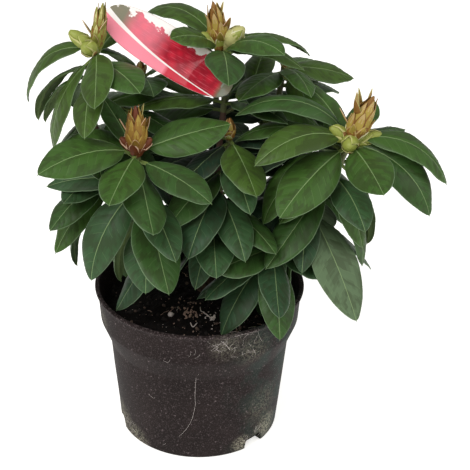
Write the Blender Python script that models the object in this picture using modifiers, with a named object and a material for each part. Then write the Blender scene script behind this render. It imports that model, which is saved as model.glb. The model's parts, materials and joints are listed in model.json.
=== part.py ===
# Potted rhododendron: a young garden shrub, in bud, in a round nursery pot.
# Lengths are metres and +Z is up. The origin is the middle of the pot's flat underside.
# A bearing is an angle in degrees from the front, -Y, and grows towards +X.
# A pitch is an angle in degrees above the horizontal.

import math
import random
from collections import namedtuple

import bmesh
import bpy
from mathutils import Matrix, Quaternion, Vector
from mathutils.bvhtree import BVHTree

MM = 0.001
FIT_GAP = 0.3 * MM

# Pot: outside radii and the heights where the wall changes slope
POT_HEIGHT = 145 * MM
LIP_RADIUS = 95 * MM
LIP_DEPTH = 2.6 * MM
COLLAR_TOP_RADIUS = 92.6 * MM
COLLAR_FOOT_RADIUS = 90.6 * MM
COLLAR_FOOT_HEIGHT = 114 * MM
BODY_TOP_RADIUS = 82 * MM
BODY_TOP_HEIGHT = 92 * MM
FOOT_RADIUS = 73.5 * MM
FOOT_ROUNDING = 1.5 * MM
POT_WALL = 1.6 * MM
POT_FLOOR = 2.4 * MM
POT_STEPS = 48

# Drain notches in the bottom corner of the pot
NOTCH_BEARINGS = (-75, 45, 165)
NOTCH_WIDTH = 24 * MM
NOTCH_DEPTH = 9 * MM
NOTCH_HEIGHT = 12 * MM
NOTCH_TAPER = 0.72

# Peat: a low mound that ends in a flat patch under the trunk
PEAT_EDGE_HEIGHT = 118 * MM
PEAT_CROWN_HEIGHT = 124 * MM
PEAT_PATCH_RADIUS = 38 * MM

# Trunk, from its flat cut on the peat to the fork
TRUNK_FOOT = Vector((7, 22)) * MM
TRUNK_TOP = Vector((9, 12, 168)) * MM
TRUNK_RADIUS = 7.4 * MM
TRUNK_TOP_RADIUS = 6.2 * MM
TRUNK_SIDES = 12
BOUGH_SIDES = 6
TRUNK_LEAN = Vector((0.15, 0.1, 0))
TRUNK_SEAT = 2 * MM
TRUNK_POINTS = 8
BOUGH_POINTS = 6
ROOT_FLARE = 4.5 * MM
FLARE_FADE = 7 * MM

# Leaf blades: stations are shares of the leaf's length, from its foot to its tip
LEAF_THICKNESS = 1.2 * MM
STALK_SHARE = 0.13
STALK_HALF_WIDTH = 1.5 * MM
LEAF_STATIONS = (0.0, 0.13, 0.27, 0.55, 0.82, 1.0)
LEAF_CUP = (0.08, 0.22)

# Buds: (share of the length, share of the radius), and the scales of the flower buds
BUD_SHAPE = ((-0.08, 0.45), (0.12, 0.85), (0.36, 1.0), (0.72, 0.64), (1.0, 0.06))
SIDE_BUD_SHAPE = ((-0.08, 0.3), (0.2, 0.68), (0.5, 1.0), (0.8, 0.8), (1.0, 0.22))
SCALE_STATIONS = (0.0, 0.45, 1.0)
SCALE_WIDTH = (5.5, 7.5)
SCALE_DROOP = -18
SCALE_CUP = -0.3

# Leaves placed by rule: ranges in millimetres and degrees, and the space they keep to
GOLDEN_ANGLE = 137.508
RULE_LENGTH = (78, 94)
RULE_WIDTH = (29, 38)
RULE_DROOP = (25, 45)
RULE_PITCH_SWAY = 9
RULE_ROLL_SWAY = 8
WHORL_STEP = 0.012
CROWN_CENTRE = Vector((22, 8, 245)) * MM
CROWN_REACH = Vector((158, 150, 166)) * MM

# Placing: a leaf that would touch something turns a little and tries again, then is left out
SEEN_SEED = 311
RULE_SEED = 36
KEEP_CLEAR = 1.3 * MM
LIMB_CLEAR = 1.0 * MM
SCALE_CLEAR = 0.8 * MM
CARD_CLEAR = 1.2 * MM
LEAF_TRIES = 14
TWIG_TRIES = 12
SEEN_SWAY = 2.5
RULE_SWAY = 5.0

# Limb: where a bough leaves its parent (share of the parent's length), where it ends, and radii.
# The first bough carries straight on from the trunk's top.
Limb = namedtuple("Limb", "name parent share end thick thin")
LIMBS = (
    Limb("bough_middle", "trunk", 1.0, (14, 24, 240), 5.2, 3.6),
    Limb("bough_left", "trunk", 0.82, (-62, 12, 222), 5.0, 3.3),
    Limb("bough_right", "trunk", 0.86, (66, -12, 205), 5.2, 3.4),
    Limb("bough_front", "trunk", 0.70, (10, -26, 206), 4.4, 3.2),
    Limb("bough_left_front", "bough_left", 0.40, (-32, -28, 206), 3.9, 3.1),
    Limb("bough_low_front", "bough_right", 0.38, (46, -36, 182), 3.7, 2.9),
    Limb("bough_upper_right", "bough_middle", 0.45, (46, 42, 234), 3.8, 3.1),
    Limb("bough_back_left", "bough_left", 0.30, (-30, 46, 218), 4.0, 3.1),
    Limb("bough_back", "bough_middle", 0.22, (8, 62, 212), 4.0, 3.1),
    Limb("bough_back_right", "bough_right", 0.45, (72, 36, 206), 3.8, 3.0),
)

# Shoot: one mass of foliage. It grows from its bough's tip to the top, all in millimetres.
# seen: leaves as (share of the stem, bearing, pitch, droop, length, width, roll)
# more: whorls filled by the rule, as (share of the stem, leaves, pitch)
# buds: (bearing, pitch, length, radius), the flower bud first, and how many scales it has
Shoot = namedtuple("Shoot", "name limb top seen more buds scales twigs")
SHOOTS = (
    Shoot(
        "shoot_upper_left", "bough_left", (-89, 10, 364),
        (
            (1.00, -100, -40, 110, 96, 32, -14), (0.97, -62, -62, 64, 94, 34, 10),
            (1.00, 5, -10, 30, 88, 30, 26), (0.84, 0, -12, 46, 90, 28, 24),
            (0.90, -110, -46, 80, 96, 24, 4), (0.84, -130, -44, 74, 90, 22, 0),
            (0.96, 150, 14, 40, 70, 22, 0), (0.22, -38, -20, 32, 84, 34, 2),
            (0.18, -50, -40, 38, 88, 30, -8), (0.15, -92, -66, 76, 106, 26, 20),
        ),
        ((0.95, 3, 10), (0.62, 3, -8), (0.38, 3, -20), (0.24, 3, -30)),
        ((80, 80, 44, 5.8), (-88, 38, 28, 6.4), (-30, 26, 20, 7.2)), 5, 1,
    ),
    Shoot(
        "shoot_upper_middle", "bough_middle", (16, 35, 358),
        (
            (0.98, 6, 2, 48, 84, 34, -10), (1.00, -128, 9, 92, 94, 30, -4),
            (1.00, -50, 22, 54, 60, 30, -20), (0.96, 35, 0, 64, 96, 28, 16),
            (1.00, 96, -8, 88, 94, 30, -6), (0.95, 58, 10, 70, 92, 28, -8),
            (0.94, -152, 10, 44, 72, 22, 10), (0.52, -120, -16, 24, 84, 30, -18),
            (0.16, -75, 2, 30, 84, 36, 0), (0.14, 65, 0, 30, 84, 36, 0),
        ),
        ((0.95, 3, -2), (0.60, 4, -12), (0.32, 3, -25)),
        ((-70, 80, 44, 8.4), (-70, 42, 24, 5.5), (72, 46, 30, 8)), 7, 1,
    ),
    Shoot(
        "shoot_right", "bough_right", (127, -25, 300),
        (
            (1.00, -92, 12, 110, 116, 28, -10), (0.97, -40, -20, 28, 98, 42, -22),
            (1.00, -58, 0, 80, 102, 33, -22), (0.99, 16, -4, 16, 86, 38, 18),
            (1.00, 80, -20, 100, 102, 34, 10), (0.98, 66, -34, 84, 100, 36, 34),
            (0.93, -68, -38, 76, 102, 34, -20), (0.98, -146, 24, 50, 78, 26, 0),
            (0.90, -106, -2, 84, 106, 26, -10), (0.90, -176, 6, 30, 68, 28, 0),
            (0.99, 166, 30, 34, 68, 30, -10), (0.98, 126, 8, 34, 60, 28, 0),
            (0.66, -46, -40, 0, 96, 38, -4), (0.44, -70, -18, 0, 92, 40, -24),
            (0.38, 34, -46, 26, 112, 42, 6), (0.68, 60, -70, 56, 94, 24, 6),
            (0.82, 108, -70, 56, 94, 28, -16), (0.42, -5, -45, 34, 70, 26, 0),
            (0.66, 150, -56, 40, 76, 18, 10), (0.76, -120, -6, 30, 92, 34, 0),
            (0.90, -160, -12, 30, 80, 30, 0),
        ),
        ((0.72, 3, -10), (0.52, 3, -22), (0.28, 4, -38)),
        ((75, 68, 48, 9.5), (-5, 14, 23, 7.4), (-70, 40, 25, 6.8), (88, 16, 28, 6.2)), 8, 0,
    ),
    Shoot(
        "shoot_left_front", "bough_left_front", (-52, -45, 296),
        (
            (1.00, -56, 2, 48, 94, 40, -22), (0.99, -12, -6, 20, 80, 36, 0),
            (1.00, 108, 8, 14, 84, 38, 32), (0.95, 12, -16, 0, 92, 38, -24),
            (0.92, 50, -8, 28, 84, 34, 10), (0.96, -150, 22, 18, 76, 22, 0),
            (0.93, -118, -4, 66, 82, 32, -14), (0.68, -50, -54, 62, 98, 36, -22),
            (0.57, 17, -32, 4, 96, 42, -14), (0.68, -100, -8, 36, 86, 26, -26),
            (0.85, -82, -52, 50, 90, 28, 10), (0.82, 100, -56, 40, 76, 28, 0),
            (0.42, -100, -70, 62, 84, 28, 26), (0.36, -6, -60, 44, 70, 40, -12),
            (0.08, -64, -58, 0, 80, 32, -10), (0.72, 132, 0, 30, 86, 34, 0),
        ),
        ((0.60, 3, -14), (0.32, 4, -36)),
        ((0, 86, 44, 8.6), (-75, 48, 20, 4.5), (80, 46, 19, 4.5)), 7, 0,
    ),
    Shoot(
        "shoot_centre", "bough_front", (25, -12, 295),
        (
            (1.00, 18, -12, 18, 80, 38, -6), (0.97, -24, 0, 24, 72, 34, 10),
            (0.56, -18, -20, 44, 90, 36, 2), (0.40, 42, -14, 28, 78, 30, 0),
            (0.45, -42, -20, 10, 46, 12, 0), (0.25, -16, -42, 26, 68, 26, 8),
            (0.54, 84, 0, 30, 84, 34, 0),
        ),
        ((0.97, 3, 10), (0.72, 3, -8), (0.48, 3, -20), (0.22, 3, -34)),
        ((0, 84, 20, 5),), 3, 0,
    ),
    Shoot(
        "shoot_low_front", "bough_low_front", (66, -36, 204),
        (
            (1.00, -46, -4, 0, 80, 38, -10), (0.95, 4, -20, 14, 76, 32, -28),
            (0.90, 62, -4, 0, 60, 26, 6), (0.75, -84, -34, 28, 78, 28, 0),
        ),
        ((0.9, 3, -6), (0.5, 3, -20)),
        ((0, 80, 14, 3.4),), 2, 0,
    ),
    Shoot(
        "shoot_upper_right", "bough_upper_right", (72, 60, 332),
        (
            (1.00, 104, -14, 28, 68, 32, 14), (0.97, 142, -6, 40, 76, 28, 6),
            (0.96, 18, 4, 60, 74, 28, -12), (0.84, 70, -26, 36, 66, 24, 4),
            (0.90, 40, -14, 34, 58, 30, 16),
        ),
        ((0.97, 3, 0), (0.55, 4, -18)),
        ((30, 82, 14, 3.6),), 2, 1,
    ),
    Shoot(
        "shoot_back_left", "bough_back_left", (-56, 72, 314),
        (
            (1.00, -35, 36, 50, 84, 36, 0), (1.00, 62, 24, 40, 88, 36, 0),
            (0.96, 12, 14, 50, 80, 34, 0),
        ),
        ((0.98, 4, 2), (0.60, 4, -16), (0.30, 3, -36)),
        ((180, 84, 16, 4.4),), 2, 1,
    ),
    Shoot(
        "shoot_back", "bough_back", (12, 92, 300),
        (), ((0.98, 6, 0), (0.58, 4, -18), (0.28, 3, -38)),
        ((180, 84, 26, 5.4),), 3, 1,
    ),
    Shoot(
        "shoot_back_right", "bough_back_right", (108, 66, 288),
        (), ((0.98, 6, 0), (0.56, 5, -20), (0.28, 3, -40)),
        ((150, 82, 15, 4.2),), 2, 1,
    ),
)
STEM_RADIUS = 3.0 * MM
STEM_TOP_RADIUS = 2.6 * MM
STEM_SEAT = 3 * MM
STEM_POINTS = 5

# Side twigs, placed by rule on the shoots' stems
TWIG_RADIUS = 1.9 * MM
TWIG_TAPER = 0.85
TWIG_LENGTH = 34 * MM
TWIG_POINTS = 5
TWIG_SHARE = (0.35, 0.5)
TWIG_LEAVES = 4
TWIG_LEAF_LENGTH = (64, 78)
TWIG_LEAF_WIDTH = (24, 30)
TWIG_LEAF_PITCH = (-15, 10)
TWIG_LEAF_DROOP = 30
TWIG_LEAF_STEP = 0.03

# Care card: an oval card that lies on the foliage, with a strap round the middle stem
CARD_CENTRE = Vector((-28, 20, 360.5)) * MM
CARD_ALONG = Vector((86, -13, -50)).normalized()
CARD_ACROSS = Vector((45, 65, 60)).normalized()
CARD_LENGTH = 125 * MM
CARD_WIDTH = 43 * MM
CARD_THICKNESS = 0.7 * MM
CARD_SQUARENESS = 2.5
CARD_EDGE_POINTS = 32
STRAP_WIDTH = 6 * MM
STRAP_THICKNESS = 0.8 * MM
STRAP_INSET = 9 * MM
STRAP_SHARE = 0.66
STRAP_LOOP_GAP = 0.5 * MM
STRAP_LOOP_START = 40
STRAP_LOOP_TURN = 290
STRAP_LOOP_POINTS = 15
STRAP_LEAD_POINTS = 9

Leaf = namedtuple("Leaf", "root bearing pitch droop length width roll cup")
Tube = namedtuple("Tube", "points radii")


def clear_scene():
    for thing in list(bpy.data.objects):
        bpy.data.objects.remove(thing, do_unlink=True)


def new_collection(name):
    collection = bpy.data.collections.new(name)
    bpy.context.scene.collection.children.link(collection)
    return collection


def new_material(name, colour, roughness, metallic=0.0):
    """A plain Principled finish from an sRGB hex colour."""
    material = bpy.data.materials.new(name)
    material.use_nodes = True
    shader = material.node_tree.nodes["Principled BSDF"]
    channels = [int(colour[i:i + 2], 16) / 255 for i in (1, 3, 5)]
    linear = [c / 12.92 if c <= 0.04045 else ((c + 0.055) / 1.055) ** 2.4 for c in channels]
    shader.inputs["Base Color"].default_value = (*linear, 1.0)
    shader.inputs["Roughness"].default_value = roughness
    shader.inputs["Metallic"].default_value = metallic
    return material


def heading(bearing, pitch):
    """Unit vector for a bearing and a pitch."""
    turn = math.radians(bearing)
    rise = math.radians(pitch)
    return Vector((math.sin(turn) * math.cos(rise), -math.cos(turn) * math.cos(rise), math.sin(rise)))


def bezier(start, start_way, end, end_way, count):
    """Points on a cubic curve that leaves and arrives in the given directions."""
    reach = (end - start).length / 3
    a = start + start_way.normalized() * reach
    b = end - end_way.normalized() * reach
    points = []
    for i in range(count):
        t = i / (count - 1)
        s = 1 - t
        points.append(start * s ** 3 + a * (3 * s * s * t) + b * (3 * s * t * t) + end * t ** 3)
    return points


def along(points, share):
    """The point and the direction at a share of a path's length."""
    lengths = [(b - a).length for a, b in zip(points, points[1:])]
    left = share * sum(lengths)
    for a, b, length in zip(points, points[1:], lengths):
        way = (b - a).normalized()
        if left <= length:
            return a + way * left, way
        left -= length
    return points[-1].copy(), way


def tapered(points, thick, thin):
    """A tube whose radius runs evenly from thick to thin."""
    last = len(points) - 1
    return Tube(points, [thick + (thin - thick) * i / last for i in range(last + 1)])


def trunk_tube():
    """The trunk, with its flare just above the peat."""
    foot = Vector((TRUNK_FOOT.x, TRUNK_FOOT.y, PEAT_CROWN_HEIGHT + FIT_GAP))
    up = Vector((0, 0, 1))
    points = [foot] + bezier(foot + up * TRUNK_SEAT, up, TRUNK_TOP, up + TRUNK_LEAN, TRUNK_POINTS)
    tube = tapered(points, TRUNK_RADIUS, TRUNK_TOP_RADIUS)
    flare = [ROOT_FLARE * math.exp(-(p.z - foot.z) / FLARE_FADE) for p in points]
    return Tube(points, [r + extra for r, extra in zip(tube.radii, flare)])


def limb_tubes():
    """The trunk and the boughs, each as a tube that starts inside its parent."""
    tubes = {"trunk": trunk_tube()}
    for limb in LIMBS:
        parent = tubes[limb.parent]
        start, way = along(parent.points, limb.share)
        end = Vector(limb.end) * MM
        if limb.share == 1.0:
            start = start + way * FIT_GAP
            leave = way
        else:
            leave = (end - start).normalized() + 0.25 * way
        arrive = (end - start).normalized() + Vector((0, 0, 0.7))
        points = bezier(start, leave, end, arrive, BOUGH_POINTS)
        tubes[limb.name] = tapered(points, limb.thick * MM, limb.thin * MM)
    return tubes


def stem_tube(shoot, limbs):
    """A shoot's stem, which starts just clear of its bough's tip and square to it."""
    tip = limbs[shoot.limb].points
    way = (tip[-1] - tip[-2]).normalized()
    start = tip[-1] + way * FIT_GAP
    top = Vector(shoot.top) * MM
    bend = start + way * STEM_SEAT
    points = bezier(bend, way, top, heading(shoot.buds[0][0], 75), STEM_POINTS)
    return tapered([start] + points, STEM_RADIUS, STEM_TOP_RADIUS)


def leaf_way(leaf, share):
    """Direction of a leaf's midrib: it sets out above its pitch and droops below it."""
    return heading(leaf.bearing, leaf.pitch + leaf.droop * (0.5 - share))


def leaf_half_width(leaf, share):
    """Half the leaf's width: a narrow stalk, then an ellipse that is fuller near the tip."""
    blade = (share - STALK_SHARE) / (1 - STALK_SHARE)
    if blade <= 0:
        return min(STALK_HALF_WIDTH, 0.3 * leaf.width)
    swell = math.sin(math.pi * min(blade, 1.0) ** 0.9) ** 0.8
    return max(min(STALK_HALF_WIDTH, 0.3 * leaf.width), 0.5 * leaf.width * swell)


def leaf_spine(leaf, stations):
    """Points down the middle of a leaf, each with its across and upward vectors."""
    spine = []
    point = leaf.root.copy()
    last = 0.0
    for share in stations:
        point = point + leaf_way(leaf, 0.5 * (last + share)) * leaf.length * (share - last)
        way = leaf_way(leaf, share)
        turn = math.radians(leaf.bearing)
        across = Vector((math.cos(turn), math.sin(turn), 0))
        across = Quaternion(way, math.radians(leaf.roll)) @ across
        spine.append((point.copy(), across, way.cross(across)))
        last = share
    return spine


def leaf_surface(leaf, stations):
    """Vertices and faces of an open leaf blade: three points across, one at the tip."""
    spine = leaf_spine(leaf, stations)
    verts = []
    for share, (point, across, upward) in zip(stations[:-1], spine):
        half = leaf_half_width(leaf, share)
        drop = upward * (-leaf.cup * half)
        verts += [point - across * half + drop, point, point + across * half + drop]
    verts.append(spine[-1][0])
    rows = len(stations) - 1
    faces = []
    for row in range(rows - 1):
        for side in (0, 1):
            a = 3 * row + side
            faces.append((a, a + 1, a + 4, a + 3))
    tip = 3 * rows
    faces += [(tip - 3, tip - 2, tip), (tip - 2, tip - 1, tip)]
    return verts, faces


def leaf_envelope(leaf, stations, margin, first):
    """A closed skin round a leaf, for testing what it would touch, from one station on."""
    spine = leaf_spine(leaf, stations)
    verts = []
    for share, (point, across, upward) in list(zip(stations, spine))[first:]:
        half = leaf_half_width(leaf, share) + margin if share < 1 else margin
        drop = upward * (-leaf.cup * half)
        for lift in (margin, -margin):
            verts += [point - across * half + drop + upward * lift, point + upward * lift,
                      point + across * half + drop + upward * lift]
    rows = len(verts) // 6
    faces = [(0, 1, 4, 3), (1, 2, 5, 4)]
    for row in range(rows - 1):
        a = 6 * row
        for i, j in ((0, 1), (1, 2), (2, 5), (5, 4), (4, 3), (3, 0)):
            faces.append((a + i, a + j, a + 6 + j, a + 6 + i))
    return verts, faces


def tube_skin(tube, margin=0.0, sides=8):
    """Vertices and faces round a tube, for testing what would touch it."""
    verts = []
    for i, point in enumerate(tube.points):
        before = tube.points[max(i - 1, 0)]
        after = tube.points[min(i + 1, len(tube.points) - 1)]
        turn = (after - before).to_track_quat("Z", "Y")
        for k in range(sides):
            angle = 2 * math.pi * k / sides
            ring = Vector((math.cos(angle), math.sin(angle), 0)) * (tube.radii[i] + margin)
            verts.append(point + turn @ ring)
    faces = []
    for i in range(len(tube.points) - 1):
        for k in range(sides):
            a = i * sides + k
            b = i * sides + (k + 1) % sides
            faces.append((a, b, b + sides, a + sides))
    return verts, faces


def turned_skin(profile):
    """Vertices and faces of a turned profile, for testing what would touch it."""
    verts = []
    for k in range(POT_STEPS):
        angle = 2 * math.pi * k / POT_STEPS
        verts += [Vector((r * math.cos(angle), r * math.sin(angle), z)) for r, z in profile]
    size = len(profile)
    faces = []
    for k in range(POT_STEPS):
        for i in range(size - 1):
            a = k * size + i
            b = ((k + 1) % POT_STEPS) * size + i
            faces.append((a, b, b + 1, a + 1))
    return verts, faces


class Space:
    """The skins of what has been placed, each with its box, for quick tests."""

    def __init__(self):
        self.items = []

    def box(self, verts):
        low = [min(v[i] for v in verts) for i in range(3)]
        high = [max(v[i] for v in verts) for i in range(3)]
        return low, high

    def add(self, skin, owner):
        low, high = self.box(skin[0])
        self.items.append((BVHTree.FromPolygons(*skin), low, high, owner))

    def hits(self, skin, skip=()):
        low, high = self.box(skin[0])
        tree = None
        for other, other_low, other_high, owner in self.items:
            if owner in skip:
                continue
            if any(low[i] > other_high[i] or other_low[i] > high[i] for i in range(3)):
                continue
            tree = tree or BVHTree.FromPolygons(*skin)
            if tree.overlap(other):
                return True
        return False


def pot_profile():
    """The pot's section, from the middle of its inner floor over the lip to its underside."""
    lip_foot = POT_HEIGHT - LIP_DEPTH
    inner = [
        (0, POT_FLOOR),
        (FOOT_RADIUS - POT_WALL, POT_FLOOR),
        (BODY_TOP_RADIUS - POT_WALL, BODY_TOP_HEIGHT),
        (COLLAR_FOOT_RADIUS - POT_WALL, COLLAR_FOOT_HEIGHT),
        (COLLAR_TOP_RADIUS - POT_WALL, POT_HEIGHT),
    ]
    outer = [
        (LIP_RADIUS, POT_HEIGHT),
        (LIP_RADIUS, lip_foot),
        (COLLAR_TOP_RADIUS, lip_foot - 1 * MM),
        (COLLAR_FOOT_RADIUS, COLLAR_FOOT_HEIGHT),
        (BODY_TOP_RADIUS, BODY_TOP_HEIGHT),
        (FOOT_RADIUS, FOOT_ROUNDING),
        (FOOT_RADIUS - FOOT_ROUNDING, 0),
        (0, 0),
    ]
    return inner, outer


def peat_profile():
    """The peat's section, from its flat patch down the wall to its underside."""
    inner, _ = pot_profile()
    (_, floor), (foot, _), (body, body_z), (collar, collar_z), (top, top_z) = inner
    slope = (top - collar) / (top_z - collar_z)
    edge = collar + slope * (PEAT_EDGE_HEIGHT - collar_z)
    return [
        (0, PEAT_CROWN_HEIGHT),
        (PEAT_PATCH_RADIUS, PEAT_CROWN_HEIGHT),
        (0.5 * edge, 0.4 * PEAT_CROWN_HEIGHT + 0.6 * PEAT_EDGE_HEIGHT),
        (edge - FIT_GAP, PEAT_EDGE_HEIGHT),
        (collar - FIT_GAP, collar_z),
        (body - FIT_GAP, body_z),
        (foot - FIT_GAP, floor + FIT_GAP),
        (0, floor + FIT_GAP),
    ]


def fixed_space(limbs):
    """Everything that stems and leaves must keep clear of before any is placed."""
    space = Space()
    inner, outer = pot_profile()
    space.add(turned_skin(inner[1:] + outer[:-1]), "pot")
    space.add(turned_skin(peat_profile()[1:4]), "peat")
    for name, tube in limbs.items():
        space.add(tube_skin(tube, LIMB_CLEAR), name)
    return space


def bud_tube(top, bud, shape):
    """A bud as a tube: an egg shape with a pointed end."""
    bearing, pitch, length, radius = bud
    way = heading(bearing, pitch)
    points = [top + way * (length * MM * share) for share, _ in shape]
    return Tube(points, [radius * MM * share for _, share in shape])


def scale_leaves(shoot, top, draw):
    """The pointed scales that stand out from a flower bud."""
    bearing, pitch, length, radius = shoot.buds[0]
    axis = heading(bearing, pitch)
    scales = []
    for i in range(shoot.scales):
        root = top + axis * (length * MM * (0.05 + 0.07 * i))
        scales.append(Leaf(root, i * GOLDEN_ANGLE, 50 + 4 * i + draw.uniform(-5, 5), SCALE_DROOP,
                           (radius + 0.36 * length + draw.uniform(-2, 3)) * MM,
                           draw.uniform(*SCALE_WIDTH) * MM, 0, SCALE_CUP))
    return scales


def in_crown(leaf):
    """Whether a leaf's tip lies in the crown's space."""
    tip = leaf_spine(leaf, LEAF_STATIONS)[-1][0] - CROWN_CENTRE
    return sum((tip[i] / CROWN_REACH[i]) ** 2 for i in range(3)) <= 1


def grow(shoot, stem, space, plan, draw, seen):
    """Place a shoot's leaves: first the ones stated for it, then whorls by the golden angle."""
    rows = []
    if seen:
        for share, bearing, pitch, droop, length, width, roll in shoot.seen:
            rows.append((stem, share, bearing, pitch, droop, length, width, roll))
    else:
        for share, count, pitch in shoot.more:
            first = draw.uniform(0, 360)
            for i in range(count):
                rows.append((stem, share - WHORL_STEP * i, first + i * GOLDEN_ANGLE,
                             pitch + draw.uniform(-RULE_PITCH_SWAY, RULE_PITCH_SWAY),
                             draw.uniform(*RULE_DROOP), draw.uniform(*RULE_LENGTH),
                             draw.uniform(*RULE_WIDTH),
                             draw.uniform(-RULE_ROLL_SWAY, RULE_ROLL_SWAY)))
        for _ in range(shoot.twigs):
            twig = grow_twig(shoot, stem, space, plan, draw)
            if twig:
                first = draw.uniform(0, 360)
                for i in range(TWIG_LEAVES):
                    rows.append((twig, 1 - TWIG_LEAF_STEP * i, first + i * GOLDEN_ANGLE,
                                 draw.uniform(*TWIG_LEAF_PITCH), TWIG_LEAF_DROOP,
                                 draw.uniform(*TWIG_LEAF_LENGTH), draw.uniform(*TWIG_LEAF_WIDTH), 0))
    own_stem = shoot.name + "_stem"
    sway = SEEN_SWAY if seen else RULE_SWAY
    for tube, share, bearing, pitch, droop, length, width, roll in rows:
        root, _ = along(tube.points, share)
        for attempt in range(LEAF_TRIES):
            leaf = Leaf(root, bearing + draw.uniform(-sway, sway) * attempt,
                        pitch + draw.uniform(-sway, sway) * attempt, droop,
                        length * MM * (1 - 0.01 * attempt), width * MM,
                        roll, draw.uniform(*LEAF_CUP))
            if not seen and not in_crown(leaf):
                continue
            whole = leaf_envelope(leaf, LEAF_STATIONS, KEEP_CLEAR, 0)
            blade = leaf_envelope(leaf, LEAF_STATIONS, KEEP_CLEAR, 1)
            if space.hits(whole, (shoot.name, own_stem)) or space.hits(blade, (own_stem,)):
                continue
            space.add(whole, shoot.name)
            plan["leaves"].append(leaf)
            break


def grow_twig(shoot, stem, space, plan, draw):
    """A side twig that leaves the stem in the first free direction."""
    start, _ = along(stem.points, draw.uniform(*TWIG_SHARE))
    first = draw.uniform(0, 360)
    for attempt in range(TWIG_TRIES):
        bearing = first + attempt * GOLDEN_ANGLE
        end = start + heading(bearing, 38) * TWIG_LENGTH
        points = bezier(start, heading(bearing, 20), end, heading(bearing, 62), TWIG_POINTS)
        twig = tapered(points, TWIG_RADIUS, TWIG_TAPER * TWIG_RADIUS)
        outside = Tube(points[1:], twig.radii[1:])
        if not space.hits(tube_skin(outside, KEEP_CLEAR), (shoot.name + "_stem",)):
            space.add(tube_skin(twig), shoot.name + "_stem")
            plan["twigs"].append(twig)
            return twig
    return None


def card_outline(count):
    """The card's oval edge, as points along and across it."""
    power = 2 / CARD_SQUARENESS
    points = []
    for i in range(count):
        angle = 2 * math.pi * i / count
        x, y = math.cos(angle), math.sin(angle)
        points.append((0.5 * CARD_LENGTH * math.copysign(abs(x) ** power, x),
                       0.5 * CARD_WIDTH * math.copysign(abs(y) ** power, y)))
    return points


def card_normal():
    return CARD_ALONG.cross(CARD_ACROSS).normalized()


def strap_path(stem):
    """Points of the strap and its width direction, from the card round the stem."""
    middle, axis = along(stem.points, STRAP_SHARE)
    start = CARD_CENTRE + CARD_ALONG * (0.5 * CARD_LENGTH - STRAP_INSET)
    side = (start - middle) - axis * (start - middle).dot(axis)
    side.normalize()
    turn = axis.cross(side)
    radius = STEM_RADIUS + STRAP_LOOP_GAP + 0.5 * STRAP_THICKNESS
    loop = []
    for i in range(STRAP_LOOP_POINTS):
        angle = math.radians(STRAP_LOOP_START + STRAP_LOOP_TURN * i / (STRAP_LOOP_POINTS - 1))
        loop.append(middle + (side * math.cos(angle) + turn * math.sin(angle)) * radius)
    lead = bezier(start, CARD_ALONG, loop[0], loop[1] - loop[0], STRAP_LEAD_POINTS)
    points = lead[:-1] + loop
    widths = []
    for i in range(len(points)):
        blend = min(1.0, i / (STRAP_LEAD_POINTS - 1))
        widths.append(CARD_ACROSS.lerp(axis, blend).normalized())
    return points, widths


def card_skin(stem, margin):
    """Skins of the card and its strap, for testing what would touch them."""
    edge = card_outline(CARD_EDGE_POINTS)
    verts = []
    for lift in (margin, -margin):
        for x, y in edge:
            grown = 1 + margin / (0.5 * CARD_WIDTH)
            verts.append(CARD_CENTRE + CARD_ALONG * (x * grown) + CARD_ACROSS * (y * grown)
                         + card_normal() * lift)
    size = len(edge)
    faces = [tuple(range(size)), tuple(range(size, 2 * size))]
    faces += [(i, (i + 1) % size, size + (i + 1) % size, size + i) for i in range(size)]
    points, _ = strap_path(stem)
    return (verts, faces), tube_skin(Tube(points, [0.5 * STRAP_WIDTH] * len(points)), sides=6)


def plan_crown(limbs):
    """Every stem, twig, leaf and bud of the crown, each kept clear of what is there before."""
    draw = random.Random(SEEN_SEED)
    space = fixed_space(limbs)
    stems = {shoot.name: stem_tube(shoot, limbs) for shoot in SHOOTS}
    for skin in card_skin(stems["shoot_upper_middle"], CARD_CLEAR):
        space.add(skin, "care_card")
    plans = {}
    for shoot in SHOOTS:
        stem = stems[shoot.name]
        own_stem = shoot.name + "_stem"
        space.add(tube_skin(stem, LIMB_CLEAR), own_stem)
        buds = [bud_tube(stem.points[-1], bud, SIDE_BUD_SHAPE if index else BUD_SHAPE)
                for index, bud in enumerate(shoot.buds)]
        for bud in buds:
            space.add(tube_skin(Tube(bud.points[1:], bud.radii[1:]), LIMB_CLEAR), own_stem)
        plans[shoot.name] = {"stem": stem, "twigs": [], "leaves": [], "buds": buds, "scales": []}
        for scale in scale_leaves(shoot, stem.points[-1], draw):
            skin = leaf_envelope(scale, SCALE_STATIONS, SCALE_CLEAR, 0)
            if not space.hits(skin, (own_stem,)):
                space.add(skin, own_stem)
                plans[shoot.name]["scales"].append(scale)
    for shoot in SHOOTS:
        grow(shoot, stems[shoot.name], space, plans[shoot.name], draw, seen=True)
    draw = random.Random(RULE_SEED)
    for shoot in SHOOTS:
        grow(shoot, stems[shoot.name], space, plans[shoot.name], draw, seen=False)
    return plans


def evaluated_mesh(thing):
    """The object's mesh as its modifiers leave it."""
    bpy.context.view_layer.update()
    depsgraph = bpy.context.evaluated_depsgraph_get()
    return bpy.data.meshes.new_from_object(thing.evaluated_get(depsgraph))


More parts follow.
